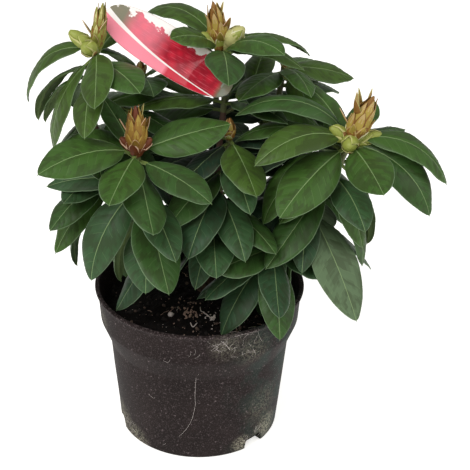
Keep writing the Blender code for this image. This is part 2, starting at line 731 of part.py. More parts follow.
def tube_object(name, tube, sides, collection, grow_by=0.0):
    """A closed mesh tube, made from a bevelled curve with a radius at each point."""
    curve = bpy.data.curves.new(name, "CURVE")
    curve.dimensions = "3D"
    curve.bevel_depth = 1.0
    curve.bevel_resolution = (sides - 4) // 2
    curve.use_fill_caps = True
    spline = curve.splines.new("POLY")
    spline.points.add(len(tube.points) - 1)
    for place, point, radius in zip(spline.points, tube.points, tube.radii):
        place.co = (*point, 1.0)
        place.radius = radius + grow_by
    guide = bpy.data.objects.new(name + "_curve", curve)
    collection.objects.link(guide)
    mesh = evaluated_mesh(guide)
    bpy.data.objects.remove(guide, do_unlink=True)
    shape = bmesh.new()
    shape.from_mesh(mesh)
    bmesh.ops.remove_doubles(shape, verts=shape.verts, dist=0.01 * MM)
    bmesh.ops.recalc_face_normals(shape, faces=shape.faces)
    shape.to_mesh(mesh)
    shape.free()
    mesh.name = name
    thing = bpy.data.objects.new(name, mesh)
    collection.objects.link(thing)
    return thing


def blade_object(name, leaf, stations, collection):
    """A leaf or a bud scale: an open blade given its thickness by Solidify."""
    verts, faces = leaf_surface(leaf, stations)
    mesh = bpy.data.meshes.new(name)
    mesh.from_pydata(verts, [], faces)
    thing = bpy.data.objects.new(name, mesh)
    solidify = thing.modifiers.new("thickness", "SOLIDIFY")
    solidify.thickness = LEAF_THICKNESS
    solidify.offset = 0.0
    collection.objects.link(thing)
    return thing


def keep_main_body(mesh):
    """Drop loose scraps and sealed hollows, and keep the largest closed skin."""
    shape = bmesh.new()
    shape.from_mesh(mesh)
    bmesh.ops.remove_doubles(shape, verts=shape.verts, dist=0.002 * MM)
    shape.faces.ensure_lookup_table()
    seen = set()
    groups = []
    for face in shape.faces:
        if face.index in seen:
            continue
        group = []
        queue = [face]
        seen.add(face.index)
        while queue:
            current = queue.pop()
            group.append(current)
            for edge in current.edges:
                for near in edge.link_faces:
                    if near.index not in seen:
                        seen.add(near.index)
                        queue.append(near)
        groups.append(group)
    groups.sort(key=len)
    spare = [face for group in groups[:-1] for face in group]
    bmesh.ops.delete(shape, geom=spare, context="FACES")
    shape.to_mesh(mesh)
    shape.free()


def join_solids(base, collection, operation="UNION"):
    """Join a collection's solids to the base, or cut them from it, and remove them."""
    modifier = base.modifiers.new("join", "BOOLEAN")
    modifier.operation = operation
    modifier.operand_type = "COLLECTION"
    modifier.collection = collection
    modifier.solver = "EXACT"
    mesh = evaluated_mesh(base)
    base.modifiers.clear()
    base.data = mesh
    for thing in list(collection.objects):
        bpy.data.objects.remove(thing, do_unlink=True)
    bpy.data.collections.remove(collection)
    keep_main_body(base.data)
    base.data.materials.clear()


def settle_origin(thing, place):
    """Give a world-space mesh its own origin at a place."""
    for vertex in thing.data.vertices:
        vertex.co -= place
    thing.location = place


def turned_object(name, profile, collection):
    """A profile in the XZ plane, turned about Z."""
    mesh = bpy.data.meshes.new(name)
    edges = [(i, i + 1) for i in range(len(profile) - 1)]
    mesh.from_pydata([(r, 0, z) for r, z in profile], edges, [])
    thing = bpy.data.objects.new(name, mesh)
    screw = thing.modifiers.new("turn", "SCREW")
    screw.axis = "Z"
    screw.steps = POT_STEPS
    screw.render_steps = POT_STEPS
    screw.use_merge_vertices = True
    screw.merge_threshold = 0.05 * MM
    collection.objects.link(thing)
    return thing


def notch_cutters(name, collection):
    """Wedges that bite the drain notches out of the pot's bottom corner."""
    cutters = []
    for bearing in NOTCH_BEARINGS:
        mesh = bpy.data.meshes.new(name)
        shape = bmesh.new()
        bmesh.ops.create_cube(shape, size=1.0)
        for vertex in shape.verts:
            narrow = NOTCH_TAPER if vertex.co.z > 0 else 1.0
            vertex.co.x *= NOTCH_WIDTH * narrow
            vertex.co.y *= 2 * NOTCH_DEPTH
            vertex.co.z = NOTCH_HEIGHT if vertex.co.z > 0 else -1 * MM
        shape.to_mesh(mesh)
        shape.free()
        cutter = bpy.data.objects.new(name, mesh)
        cutter.location = heading(bearing, 0) * FOOT_RADIUS
        cutter.rotation_euler.z = math.radians(bearing)
        cutter.display_type = "WIRE"
        cutter.hide_render = True
        collection.objects.link(cutter)
        cutters.append(cutter)
    return cutters


def cut_notches(thing, cutters):
    for cutter in cutters:
        cut = thing.modifiers.new("drain notch", "BOOLEAN")
        cut.operation = "DIFFERENCE"
        cut.object = cutter


def shade_round(thing, angle):
    thing.data.shade_smooth()
    thing.data.set_sharp_from_angle(angle=math.radians(angle))


def make_pot(collection, cutters, finish):
    inner, outer = pot_profile()
    pot = turned_object("pot", inner + outer, collection)
    cut_notches(pot, cutters)
    pot.data.materials.append(finish)
    return pot


def make_peat(collection, cutters, finish):
    peat = turned_object("peat", peat_profile(), collection)
    cut_notches(peat, cutters)
    peat.data.materials.append(finish)
    return peat


def limb_sides(name):
    return TRUNK_SIDES if name == "trunk" else BOUGH_SIDES


def make_limbs(limbs, collection, finish):
    """Trunk and boughs, each bough cut to a seat that clears the limbs made before it."""
    made = []
    for name, tube in limbs.items():
        limb = tube_object(name, tube, limb_sides(name), collection)
        if made:
            seats = new_collection("seats")
            for other in made:
                tube_object("seat", limbs[other], limb_sides(other), seats, grow_by=FIT_GAP)
            join_solids(limb, seats, "DIFFERENCE")
        made.append(name)
        limb.data.materials.append(finish)
        shade_round(limb, 50)
        settle_origin(limb, tube.points[0])


def make_shoot(name, plan, collection, finish):
    """One mass of foliage: its stem, with twigs, leaves, buds and scales fused on."""
    shoot = tube_object(name, plan["stem"], 6, collection)
    fused = new_collection("growth")
    for twig in plan["twigs"]:
        tube_object("twig", twig, 6, fused)
    for bud in plan["buds"]:
        tube_object("bud", bud, 6, fused)
    for scale in plan["scales"]:
        blade_object("scale", scale, SCALE_STATIONS, fused)
    for leaf in plan["leaves"]:
        blade_object("leaf", leaf, LEAF_STATIONS, fused)
    join_solids(shoot, fused)
    shoot.data.materials.append(finish)
    settle_origin(shoot, plan["stem"].points[0])


def make_card(stem, collection, finish):
    """The care card and its strap, joined."""
    outline = bpy.data.curves.new("card", "CURVE")
    outline.dimensions = "2D"
    outline.fill_mode = "BOTH"
    outline.extrude = 0.5 * CARD_THICKNESS
    spline = outline.splines.new("POLY")
    edge = card_outline(CARD_EDGE_POINTS)
    spline.points.add(len(edge) - 1)
    for place, (x, y) in zip(spline.points, edge):
        place.co = (x, y, 0, 1)
    spline.use_cyclic_u = True
    guide = bpy.data.objects.new("card_outline", outline)
    guide.matrix_world = card_matrix()
    collection.objects.link(guide)
    mesh = evaluated_mesh(guide)
    mesh.transform(guide.matrix_world)
    bpy.data.objects.remove(guide, do_unlink=True)
    shape = bmesh.new()
    shape.from_mesh(mesh)
    bmesh.ops.remove_doubles(shape, verts=shape.verts, dist=0.01 * MM)
    bmesh.ops.recalc_face_normals(shape, faces=shape.faces)
    shape.to_mesh(mesh)
    shape.free()
    card = bpy.data.objects.new("care_card", mesh)
    collection.objects.link(card)
    straps = new_collection("straps")
    points, widths = strap_path(stem)
    verts = []
    for point, width in zip(points, widths):
        verts += [point - width * 0.5 * STRAP_WIDTH, point + width * 0.5 * STRAP_WIDTH]
    faces = [(2 * i, 2 * i + 1, 2 * i + 3, 2 * i + 2) for i in range(len(points) - 1)]
    ribbon = bpy.data.meshes.new("strap")
    ribbon.from_pydata(verts, [], faces)
    strap = bpy.data.objects.new("strap", ribbon)
    solidify = strap.modifiers.new("thickness", "SOLIDIFY")
    solidify.thickness = STRAP_THICKNESS
    solidify.offset = 0.0
    straps.objects.link(strap)
    join_solids(card, straps)
    card.data.materials.append(finish)
    settle_origin(card, CARD_CENTRE)


def card_matrix():
    """Placement of the card: X along it, Y across it."""
    normal = card_normal()
    turn = Matrix((CARD_ALONG, normal.cross(CARD_ALONG), normal)).transposed()
    return Matrix.Translation(CARD_CENTRE) @ turn.to_4x4()


def main():
    clear_scene()
    plant = new_collection("potted_rhododendron")
    guides = new_collection("cutters")
    holder = bpy.data.objects.new("potted_rhododendron", None)
    plant.objects.link(holder)
    plastic = new_material("nursery_pot_plastic", "#3a3432", 0.55)
    peat = new_material("peat", "#14100d", 0.95)
    bark = new_material("young_bark", "#6b4a34", 0.8)
    foliage = new_material("rhododendron_foliage", "#44713c", 0.42)
    card = new_material("printed_card", "#d8404f", 0.3)
    cutters = notch_cutters("drain_notch", guides)
    make_pot(plant, cutters, plastic)
    make_peat(plant, cutters, peat)
    limbs = limb_tubes()
    make_limbs(limbs, plant, bark)
    plans = plan_crown(limbs)
    for name, plan in plans.items():
        make_shoot(name, plan, plant, foliage)
    make_card(plans["shoot_upper_middle"]["stem"], plant, card)
    for thing in plant.objects:
        if thing is not holder:
            thing.parent = holder


main()
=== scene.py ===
# Potted rhododendron: a young garden shrub, in bud, in a round nursery pot.
# Lengths are metres and +Z is up. The origin is the middle of the pot's flat underside.
# A bearing is an angle in degrees from the front, -Y, and grows towards +X.
# A pitch is an angle in degrees above the horizontal.

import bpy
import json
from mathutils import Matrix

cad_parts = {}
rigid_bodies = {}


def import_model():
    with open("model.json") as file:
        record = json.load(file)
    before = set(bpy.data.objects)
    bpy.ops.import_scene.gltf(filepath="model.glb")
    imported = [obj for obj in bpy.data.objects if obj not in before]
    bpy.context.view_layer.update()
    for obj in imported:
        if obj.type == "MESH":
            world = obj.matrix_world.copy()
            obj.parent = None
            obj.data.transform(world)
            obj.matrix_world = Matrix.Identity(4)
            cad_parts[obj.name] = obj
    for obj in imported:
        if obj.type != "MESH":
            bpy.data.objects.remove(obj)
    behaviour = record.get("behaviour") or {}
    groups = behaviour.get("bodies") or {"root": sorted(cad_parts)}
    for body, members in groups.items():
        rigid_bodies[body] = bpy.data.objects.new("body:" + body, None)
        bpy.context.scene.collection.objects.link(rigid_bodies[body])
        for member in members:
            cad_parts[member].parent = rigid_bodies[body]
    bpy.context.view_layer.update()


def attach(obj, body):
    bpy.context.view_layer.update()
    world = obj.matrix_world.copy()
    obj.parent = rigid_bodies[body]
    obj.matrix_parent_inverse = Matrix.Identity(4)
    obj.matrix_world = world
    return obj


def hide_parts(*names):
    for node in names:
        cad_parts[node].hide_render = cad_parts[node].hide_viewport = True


bl_info = {
    "name": "Potted Rhododendron",
    "version": (1, 0, 0),
    "blender": (4, 5, 0),
    "location": "View3D > Sidebar > Shrub",
    "description": "Leaves, buds, bark, peat, nursery pot and care card of a potted rhododendron",
    "category": "Add Mesh",
}

import json
import math
import random
from collections import namedtuple
from functools import lru_cache

import bmesh
import bpy
import numpy as np
from bpy.props import FloatProperty, FloatVectorProperty, IntProperty, PointerProperty
from mathutils import Matrix, Quaternion, Vector
from mathutils.bvhtree import BVHTree

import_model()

MM = 0.001
FIT_GAP = 0.3 * MM

# Pot: outside radii and the heights where the wall changes slope
POT_HEIGHT = 145 * MM
LIP_RADIUS = 95 * MM
LIP_DEPTH = 2.6 * MM
COLLAR_TOP_RADIUS = 92.6 * MM
COLLAR_FOOT_RADIUS = 90.6 * MM
COLLAR_FOOT_HEIGHT = 114 * MM
BODY_TOP_RADIUS = 82 * MM
BODY_TOP_HEIGHT = 92 * MM
FOOT_RADIUS = 73.5 * MM
FOOT_ROUNDING = 1.5 * MM
POT_WALL = 1.6 * MM
POT_FLOOR = 2.4 * MM
POT_STEPS = 48

# Drain notches in the bottom corner of the pot
NOTCH_BEARINGS = (-75, 45, 165)
NOTCH_WIDTH = 24 * MM
NOTCH_DEPTH = 9 * MM
NOTCH_HEIGHT = 12 * MM
NOTCH_TAPER = 0.72

# Peat: a low mound that ends in a flat patch under the trunk
PEAT_EDGE_HEIGHT = 118 * MM
PEAT_CROWN_HEIGHT = 124 * MM
PEAT_PATCH_RADIUS = 38 * MM

# Trunk, from its flat cut on the peat to the fork
TRUNK_FOOT = Vector((7, 22)) * MM
TRUNK_TOP = Vector((9, 12, 168)) * MM
TRUNK_RADIUS = 7.4 * MM
TRUNK_TOP_RADIUS = 6.2 * MM
TRUNK_LEAN = Vector((0.15, 0.1, 0))
TRUNK_SEAT = 2 * MM
TRUNK_POINTS = 8
ROOT_FLARE = 4.5 * MM
FLARE_FADE = 7 * MM

# Boughs set out partly along their parent and bend up towards their ends
BOUGH_POINTS = 6
BOUGH_SWEEP = 0.25
BOUGH_RISE = Vector((0, 0, 0.7))

# Leaf blades: stations are shares of the leaf's length, from its foot to its tip
STALK_SHARE = 0.13
STALK_HALF_WIDTH = 1.5 * MM
STALK_WIDTH_SHARE = 0.3
LEAF_STATIONS = (0.0, 0.13, 0.27, 0.55, 0.82, 1.0)
LEAF_CUP = (0.08, 0.22)

# Buds: (share of the length, share of the radius), and the scales of the flower buds
BUD_SHAPE = ((-0.08, 0.45), (0.12, 0.85), (0.36, 1.0), (0.72, 0.64), (1.0, 0.06))
SIDE_BUD_SHAPE = ((-0.08, 0.3), (0.2, 0.68), (0.5, 1.0), (0.8, 0.8), (1.0, 0.22))
SCALE_STATIONS = (0.0, 0.45, 1.0)
SCALE_WIDTH = (5.5, 7.5)
SCALE_DROOP = -18
SCALE_CUP = -0.3
# A standing scale's foot (share of the bud) and pitch, each with its step from scale to scale
SCALE_FOOT = (0.05, 0.07)
SCALE_PITCH = (50, 4)
SCALE_PITCH_SWAY = 5
SCALE_LENGTH_SHARE = 0.36
SCALE_LENGTH_SWAY = (-2, 3)

# Leaves placed by rule: ranges in millimetres and degrees, and the space they keep to
GOLDEN_ANGLE = 137.508
RULE_LENGTH = (78, 94)
RULE_WIDTH = (29, 38)
RULE_DROOP = (25, 45)
RULE_PITCH_SWAY = 9
RULE_ROLL_SWAY = 8
WHORL_STEP = 0.012
CROWN_CENTRE = Vector((22, 8, 245)) * MM
CROWN_REACH = Vector((158, 150, 166)) * MM

# Placing: a leaf that would touch something turns a little and tries again, then is left out
SEEN_SEED = 311
RULE_SEED = 36
KEEP_CLEAR = 1.3 * MM
LIMB_CLEAR = 1.0 * MM
SCALE_CLEAR = 0.8 * MM
CARD_CLEAR = 1.2 * MM
LEAF_TRIES = 14
TWIG_TRIES = 12
TRY_SHRINK = 0.01
SEEN_SWAY = 2.5
RULE_SWAY = 5.0

# Whorls that only the visual model has, low and deep in every shoot, where no sky shows through
INNER_SEED = 3
INNER_WHORLS = ((0.82, 3, -2), (0.50, 4, -14), (0.28, 3, -26), (0.10, 3, -36))

# Limb: where a bough leaves its parent (share of the parent's length), where it ends, and radii.
# The first bough carries straight on from the trunk's top.
Limb = namedtuple("Limb", "name parent share end thick thin")
LIMBS = (
    Limb("bough_middle", "trunk", 1.0, (14, 24, 240), 5.2, 3.6),
    Limb("bough_left", "trunk", 0.82, (-62, 12, 222), 5.0, 3.3),
    Limb("bough_right", "trunk", 0.86, (66, -12, 205), 5.2, 3.4),
    Limb("bough_front", "trunk", 0.70, (10, -26, 206), 4.4, 3.2),
    Limb("bough_left_front", "bough_left", 0.40, (-32, -28, 206), 3.9, 3.1),
    Limb("bough_low_front", "bough_right", 0.38, (46, -36, 182), 3.7, 2.9),
    Limb("bough_upper_right", "bough_middle", 0.45, (46, 42, 234), 3.8, 3.1),
    Limb("bough_back_left", "bough_left", 0.30, (-30, 46, 218), 4.0, 3.1),
    Limb("bough_back", "bough_middle", 0.22, (8, 62, 212), 4.0, 3.1),
    Limb("bough_back_right", "bough_right", 0.45, (72, 36, 206), 3.8, 3.0),
)

# Shoot: one mass of foliage. It grows from its bough's tip to the top, all in millimetres.
# seen: leaves as (share of the stem, bearing, pitch, droop, length, width, roll)
# more: whorls filled by the rule, as (share of the stem, leaves, pitch)
# buds: (bearing, pitch, length, radius), the flower bud first, and how many scales it has
Shoot = namedtuple("Shoot", "name limb top seen more buds scales twigs")
SHOOTS = (
    Shoot(
        "shoot_upper_left", "bough_left", (-89, 10, 364),
        (
            (1.00, -100, -40, 110, 96, 32, -14), (0.97, -62, -62, 64, 94, 34, 10),
            (1.00, 5, -10, 30, 88, 30, 26), (0.84, 0, -12, 46, 90, 28, 24),
            (0.90, -110, -46, 80, 96, 24, 4), (0.84, -130, -44, 74, 90, 22, 0),
            (0.96, 150, 14, 40, 70, 22, 0), (0.22, -38, -20, 32, 84, 34, 2),
            (0.18, -50, -40, 38, 88, 30, -8), (0.15, -92, -66, 76, 106, 26, 20),
        ),
        ((0.95, 3, 10), (0.62, 3, -8), (0.38, 3, -20), (0.24, 3, -30)),
        ((80, 80, 44, 5.8), (-88, 38, 28, 6.4), (-30, 26, 20, 7.2)), 5, 1,
    ),
    Shoot(
        "shoot_upper_middle", "bough_middle", (16, 35, 358),
        (
            (0.98, 6, 2, 48, 84, 34, -10), (1.00, -128, 9, 92, 94, 30, -4),
            (1.00, -50, 22, 54, 60, 30, -20), (0.96, 35, 0, 64, 96, 28, 16),
            (1.00, 96, -8, 88, 94, 30, -6), (0.95, 58, 10, 70, 92, 28, -8),
            (0.94, -152, 10, 44, 72, 22, 10), (0.52, -120, -16, 24, 84, 30, -18),
            (0.16, -75, 2, 30, 84, 36, 0), (0.14, 65, 0, 30, 84, 36, 0),
        ),
        ((0.95, 3, -2), (0.60, 4, -12), (0.32, 3, -25)),
        ((-70, 80, 44, 8.4), (-70, 42, 24, 5.5), (72, 46, 30, 8)), 7, 1,
    ),
    Shoot(
        "shoot_right", "bough_right", (127, -25, 300),
        (
            (1.00, -92, 12, 110, 116, 28, -10), (0.97, -40, -20, 28, 98, 42, -22),
            (1.00, -58, 0, 80, 102, 33, -22), (0.99, 16, -4, 16, 86, 38, 18),
            (1.00, 80, -20, 100, 102, 34, 10), (0.98, 66, -34, 84, 100, 36, 34),
            (0.93, -68, -38, 76, 102, 34, -20), (0.98, -146, 24, 50, 78, 26, 0),
            (0.90, -106, -2, 84, 106, 26, -10), (0.90, -176, 6, 30, 68, 28, 0),
            (0.99, 166, 30, 34, 68, 30, -10), (0.98, 126, 8, 34, 60, 28, 0),
            (0.66, -46, -40, 0, 96, 38, -4), (0.44, -70, -18, 0, 92, 40, -24),
            (0.38, 34, -46, 26, 112, 42, 6), (0.68, 60, -70, 56, 94, 24, 6),
            (0.82, 108, -70, 56, 94, 28, -16), (0.42, -5, -45, 34, 70, 26, 0),
            (0.66, 150, -56, 40, 76, 18, 10), (0.76, -120, -6, 30, 92, 34, 0),
            (0.90, -160, -12, 30, 80, 30, 0),
        ),
        ((0.72, 3, -10), (0.52, 3, -22), (0.28, 4, -38)),
        ((75, 68, 48, 9.5), (-5, 14, 23, 7.4), (-70, 40, 25, 6.8), (88, 16, 28, 6.2)), 8, 0,
    ),
    Shoot(
        "shoot_left_front", "bough_left_front", (-52, -45, 296),
        (
            (1.00, -56, 2, 48, 94, 40, -22), (0.99, -12, -6, 20, 80, 36, 0),
            (1.00, 108, 8, 14, 84, 38, 32), (0.95, 12, -16, 0, 92, 38, -24),
            (0.92, 50, -8, 28, 84, 34, 10), (0.96, -150, 22, 18, 76, 22, 0),
            (0.93, -118, -4, 66, 82, 32, -14), (0.68, -50, -54, 62, 98, 36, -22),
            (0.57, 17, -32, 4, 96, 42, -14), (0.68, -100, -8, 36, 86, 26, -26),
            (0.85, -82, -52, 50, 90, 28, 10), (0.82, 100, -56, 40, 76, 28, 0),
            (0.42, -100, -70, 62, 84, 28, 26), (0.36, -6, -60, 44, 70, 40, -12),
            (0.08, -64, -58, 0, 80, 32, -10), (0.72, 132, 0, 30, 86, 34, 0),
        ),
        ((0.60, 3, -14), (0.32, 4, -36)),
        ((0, 86, 44, 8.6), (-75, 48, 20, 4.5), (80, 46, 19, 4.5)), 7, 0,
    ),
    Shoot(
        "shoot_centre", "bough_front", (25, -12, 295),
        (
            (1.00, 18, -12, 18, 80, 38, -6), (0.97, -24, 0, 24, 72, 34, 10),
            (0.56, -18, -20, 44, 90, 36, 2), (0.40, 42, -14, 28, 78, 30, 0),
            (0.45, -42, -20, 10, 46, 12, 0), (0.25, -16, -42, 26, 68, 26, 8),
            (0.54, 84, 0, 30, 84, 34, 0),
        ),
        ((0.97, 3, 10), (0.72, 3, -8), (0.48, 3, -20), (0.22, 3, -34)),
        ((0, 84, 20, 5),), 3, 0,
    ),
    Shoot(
        "shoot_low_front", "bough_low_front", (66, -36, 204),
        (
            (1.00, -46, -4, 0, 80, 38, -10), (0.95, 4, -20, 14, 76, 32, -28),
            (0.90, 62, -4, 0, 60, 26, 6), (0.75, -84, -34, 28, 78, 28, 0),
        ),
        ((0.9, 3, -6), (0.5, 3, -20)),
        ((0, 80, 14, 3.4),), 2, 0,
    ),
    Shoot(
        "shoot_upper_right", "bough_upper_right", (72, 60, 332),
        (
            (1.00, 104, -14, 28, 68, 32, 14), (0.97, 142, -6, 40, 76, 28, 6),
            (0.96, 18, 4, 60, 74, 28, -12), (0.84, 70, -26, 36, 66, 24, 4),
            (0.90, 40, -14, 34, 58, 30, 16),
        ),
        ((0.97, 3, 0), (0.55, 4, -18)),
        ((30, 82, 14, 3.6),), 2, 1,
    ),
    Shoot(
        "shoot_back_left", "bough_back_left", (-56, 72, 314),
        (
            (1.00, -35, 36, 50, 84, 36, 0), (1.00, 62, 24, 40, 88, 36, 0),
            (0.96, 12, 14, 50, 80, 34, 0),
        ),
        ((0.98, 4, 2), (0.60, 4, -16), (0.30, 3, -36)),
        ((180, 84, 16, 4.4),), 2, 1,
    ),
    Shoot(
        "shoot_back", "bough_back", (12, 92, 300),
        (), ((0.98, 6, 0), (0.58, 4, -18), (0.28, 3, -38)),
        ((180, 84, 26, 5.4),), 3, 1,
    ),
    Shoot(
        "shoot_back_right", "bough_back_right", (108, 66, 288),
        (), ((0.98, 6, 0), (0.56, 5, -20), (0.28, 3, -40)),
        ((150, 82, 15, 4.2),), 2, 1,
    ),
)
STEM_RADIUS = 3.0 * MM
STEM_TOP_RADIUS = 2.6 * MM
STEM_SEAT = 3 * MM
STEM_POINTS = 5
STEM_TOP_PITCH = 75

# Side twigs, placed by rule on the shoots' stems
TWIG_RADIUS = 1.9 * MM
TWIG_TAPER = 0.85
TWIG_LENGTH = 34 * MM
TWIG_PITCH = 38
TWIG_FOOT_PITCH = 20
TWIG_TOP_PITCH = 62
TWIG_POINTS = 5
TWIG_SHARE = (0.35, 0.5)
TWIG_LEAVES = 4
TWIG_LEAF_LENGTH = (64, 78)
TWIG_LEAF_WIDTH = (24, 30)
TWIG_LEAF_PITCH = (-15, 10)
TWIG_LEAF_DROOP = 30
TWIG_LEAF_STEP = 0.03

# Care card: an oval card that lies on the foliage, with a strap round the upper middle shoot's stem
CARD_SHOOT = "shoot_upper_middle"
CARD_CENTRE = Vector((-28, 20, 360.5)) * MM
CARD_ALONG = Vector((86, -13, -50)).normalized()
CARD_ACROSS = Vector((45, 65, 60)).normalized()
CARD_LENGTH = 125 * MM
CARD_WIDTH = 43 * MM
CARD_SQUARENESS = 2.5
CARD_EDGE_POINTS = 32
STRAP_WIDTH = 6 * MM
STRAP_THICKNESS = 0.8 * MM
STRAP_INSET = 9 * MM
STRAP_SHARE = 0.66
STRAP_LOOP_GAP = 0.5 * MM
STRAP_LOOP_START = 40
STRAP_LOOP_TURN = 290
STRAP_LOOP_POINTS = 15
STRAP_LEAD_POINTS = 9

Leaf = namedtuple("Leaf", "root bearing pitch droop length width roll cup")
Tube = namedtuple("Tube", "points radii")


def heading(bearing, pitch):
    """Unit vector for a bearing and a pitch."""
    turn = math.radians(bearing)
    rise = math.radians(pitch)
    return Vector((math.sin(turn) * math.cos(rise), -math.cos(turn) * math.cos(rise), math.sin(rise)))


def bezier(start, start_way, end, end_way, count):
    """Points on a cubic curve that leaves and arrives in the given directions."""
    reach = (end - start).length / 3
    a = start + start_way.normalized() * reach
    b = end - end_way.normalized() * reach
    points = []
    for i in range(count):
        t = i / (count - 1)
        s = 1 - t
        points.append(start * s ** 3 + a * (3 * s * s * t) + b * (3 * s * t * t) + end * t ** 3)
    return points


def along(points, share):
    """The point and the direction at a share of a path's length."""
    lengths = [(b - a).length for a, b in zip(points, points[1:])]
    left = share * sum(lengths)
    for a, b, length in zip(points, points[1:], lengths):
        way = (b - a).normalized()
        if left <= length:
            return a + way * left, way
        left -= length
    return points[-1].copy(), way


def tapered(points, thick, thin):
    """A tube whose radius runs evenly from thick to thin."""
    last = len(points) - 1
    return Tube(points, [thick + (thin - thick) * i / last for i in range(last + 1)])


def trunk_tube():
    """The trunk, with its flare just above the peat."""
    foot = Vector((TRUNK_FOOT.x, TRUNK_FOOT.y, PEAT_CROWN_HEIGHT + FIT_GAP))
    up = Vector((0, 0, 1))
    points = [foot] + bezier(foot + up * TRUNK_SEAT, up, TRUNK_TOP, up + TRUNK_LEAN, TRUNK_POINTS)
    tube = tapered(points, TRUNK_RADIUS, TRUNK_TOP_RADIUS)
    flare = [ROOT_FLARE * math.exp(-(p.z - foot.z) / FLARE_FADE) for p in points]
    return Tube(points, [r + extra for r, extra in zip(tube.radii, flare)])


def limb_tubes():
    """The trunk and the boughs, each as a tube that starts inside its parent."""
    tubes = {"trunk": trunk_tube()}
    for limb in LIMBS:
        start, way = along(tubes[limb.parent].points, limb.share)
        end = Vector(limb.end) * MM
        if limb.share == 1.0:
            start = start + way * FIT_GAP
            leave = way
        else:
            leave = (end - start).normalized() + BOUGH_SWEEP * way
        arrive = (end - start).normalized() + BOUGH_RISE
        points = bezier(start, leave, end, arrive, BOUGH_POINTS)
        tubes[limb.name] = tapered(points, limb.thick * MM, limb.thin * MM)
    return tubes


def stem_tube(shoot, limbs):
    """A shoot's stem, which starts just clear of its bough's tip and square to it."""
    tip = limbs[shoot.limb].points
    way = (tip[-1] - tip[-2]).normalized()
    start = tip[-1] + way * FIT_GAP
    top = Vector(shoot.top) * MM
    bend = start + way * STEM_SEAT
    points = bezier(bend, way, top, heading(shoot.buds[0][0], STEM_TOP_PITCH),
                    STEM_POINTS)
    return tapered([start] + points, STEM_RADIUS, STEM_TOP_RADIUS)


def leaf_way(leaf, share):
    """Direction of a leaf's midrib: it sets out above its pitch and droops below it."""
    return heading(leaf.bearing, leaf.pitch + leaf.droop * (0.5 - share))


def leaf_half_width(leaf, share):
    """Half the leaf's width: a narrow stalk, then an ellipse that is fuller near the tip."""
    narrow = min(STALK_HALF_WIDTH, STALK_WIDTH_SHARE * leaf.width)
    blade = (share - STALK_SHARE) / (1 - STALK_SHARE)
    if blade <= 0:
        return narrow
    return max(narrow, 0.5 * leaf.width * math.sin(math.pi * min(blade, 1.0) ** 0.9) ** 0.8)


def leaf_spine(leaf, stations):
    """Points down the middle of a leaf, each with its across and upward vectors."""
    spine = []
    point = leaf.root.copy()
    last = 0.0
    turn = math.radians(leaf.bearing)
    level = Vector((math.cos(turn), math.sin(turn), 0))
    for share in stations:
        point = point + leaf_way(leaf, 0.5 * (last + share)) * leaf.length * (share - last)
        way = leaf_way(leaf, share)
        across = Quaternion(way, math.radians(leaf.roll)) @ level
        spine.append((point.copy(), across, way.cross(across)))
        last = share
    return spine


def leaf_envelope(leaf, stations, margin, first):
    """A closed skin round a leaf, for testing what it would touch, from one station on."""
    spine = leaf_spine(leaf, stations)
    verts = []
    for share, (point, across, upward) in list(zip(stations, spine))[first:]:
        half = leaf_half_width(leaf, share) + margin if share < 1 else margin
        drop = upward * (-leaf.cup * half)
        for lift in (margin, -margin):
            verts += [point - across * half + drop + upward * lift, point + upward * lift,
                      point + across * half + drop + upward * lift]
    rows = len(verts) // 6
    faces = [(0, 1, 4, 3), (1, 2, 5, 4)]
    for row in range(rows - 1):
        a = 6 * row
        for i, j in ((0, 1), (1, 2), (2, 5), (5, 4), (4, 3), (3, 0)):
            faces.append((a + i, a + j, a + 6 + j, a + 6 + i))
    return verts, faces


def tube_skin(tube, margin=0.0, sides=8):
    """Vertices and faces round a tube, for testing what would touch it."""
    verts = []
    for i, point in enumerate(tube.points):
        before = tube.points[max(i - 1, 0)]
        after = tube.points[min(i + 1, len(tube.points) - 1)]
        turn = (after - before).to_track_quat("Z", "Y")
        for k in range(sides):
            angle = 2 * math.pi * k / sides
            ring = Vector((math.cos(angle), math.sin(angle), 0)) * (tube.radii[i] + margin)
            verts.append(point + turn @ ring)
    faces = []
    for i in range(len(tube.points) - 1):
        for k in range(sides):
            a = i * sides + k
            b = i * sides + (k + 1) % sides
            faces.append((a, b, b + sides, a + sides))
    return verts, faces


def turned_skin(profile):
    """Vertices and faces of a turned profile, for testing what would touch it."""
    verts = []
    for k in range(POT_STEPS):
        angle = 2 * math.pi * k / POT_STEPS
        verts += [Vector((r * math.cos(angle), r * math.sin(angle), z)) for r, z in profile]
    size = len(profile)
    faces = []
    for k in range(POT_STEPS):
        for i in range(size - 1):
            a = k * size + i
            b = ((k + 1) % POT_STEPS) * size + i
            faces.append((a, b, b + 1, a + 1))
    return verts, faces


class Space:
    """The skins of what has been placed, each with its box, for quick tests."""

    def __init__(self):
        self.items = []

    def box(self, verts):
        low = [min(v[i] for v in verts) for i in range(3)]
        high = [max(v[i] for v in verts) for i in range(3)]
        return low, high

    def add(self, skin, owner):
        low, high = self.box(skin[0])
        self.items.append((BVHTree.FromPolygons(*skin), low, high, owner))

    def hits(self, skin, skip=()):
        low, high = self.box(skin[0])
        tree = None
        for other, other_low, other_high, owner in self.items:
            if owner in skip:
                continue
            if any(low[i] > other_high[i] or other_low[i] > high[i] for i in range(3)):
                continue
            tree = tree or BVHTree.FromPolygons(*skin)
            if tree.overlap(other):
                return True
        return False


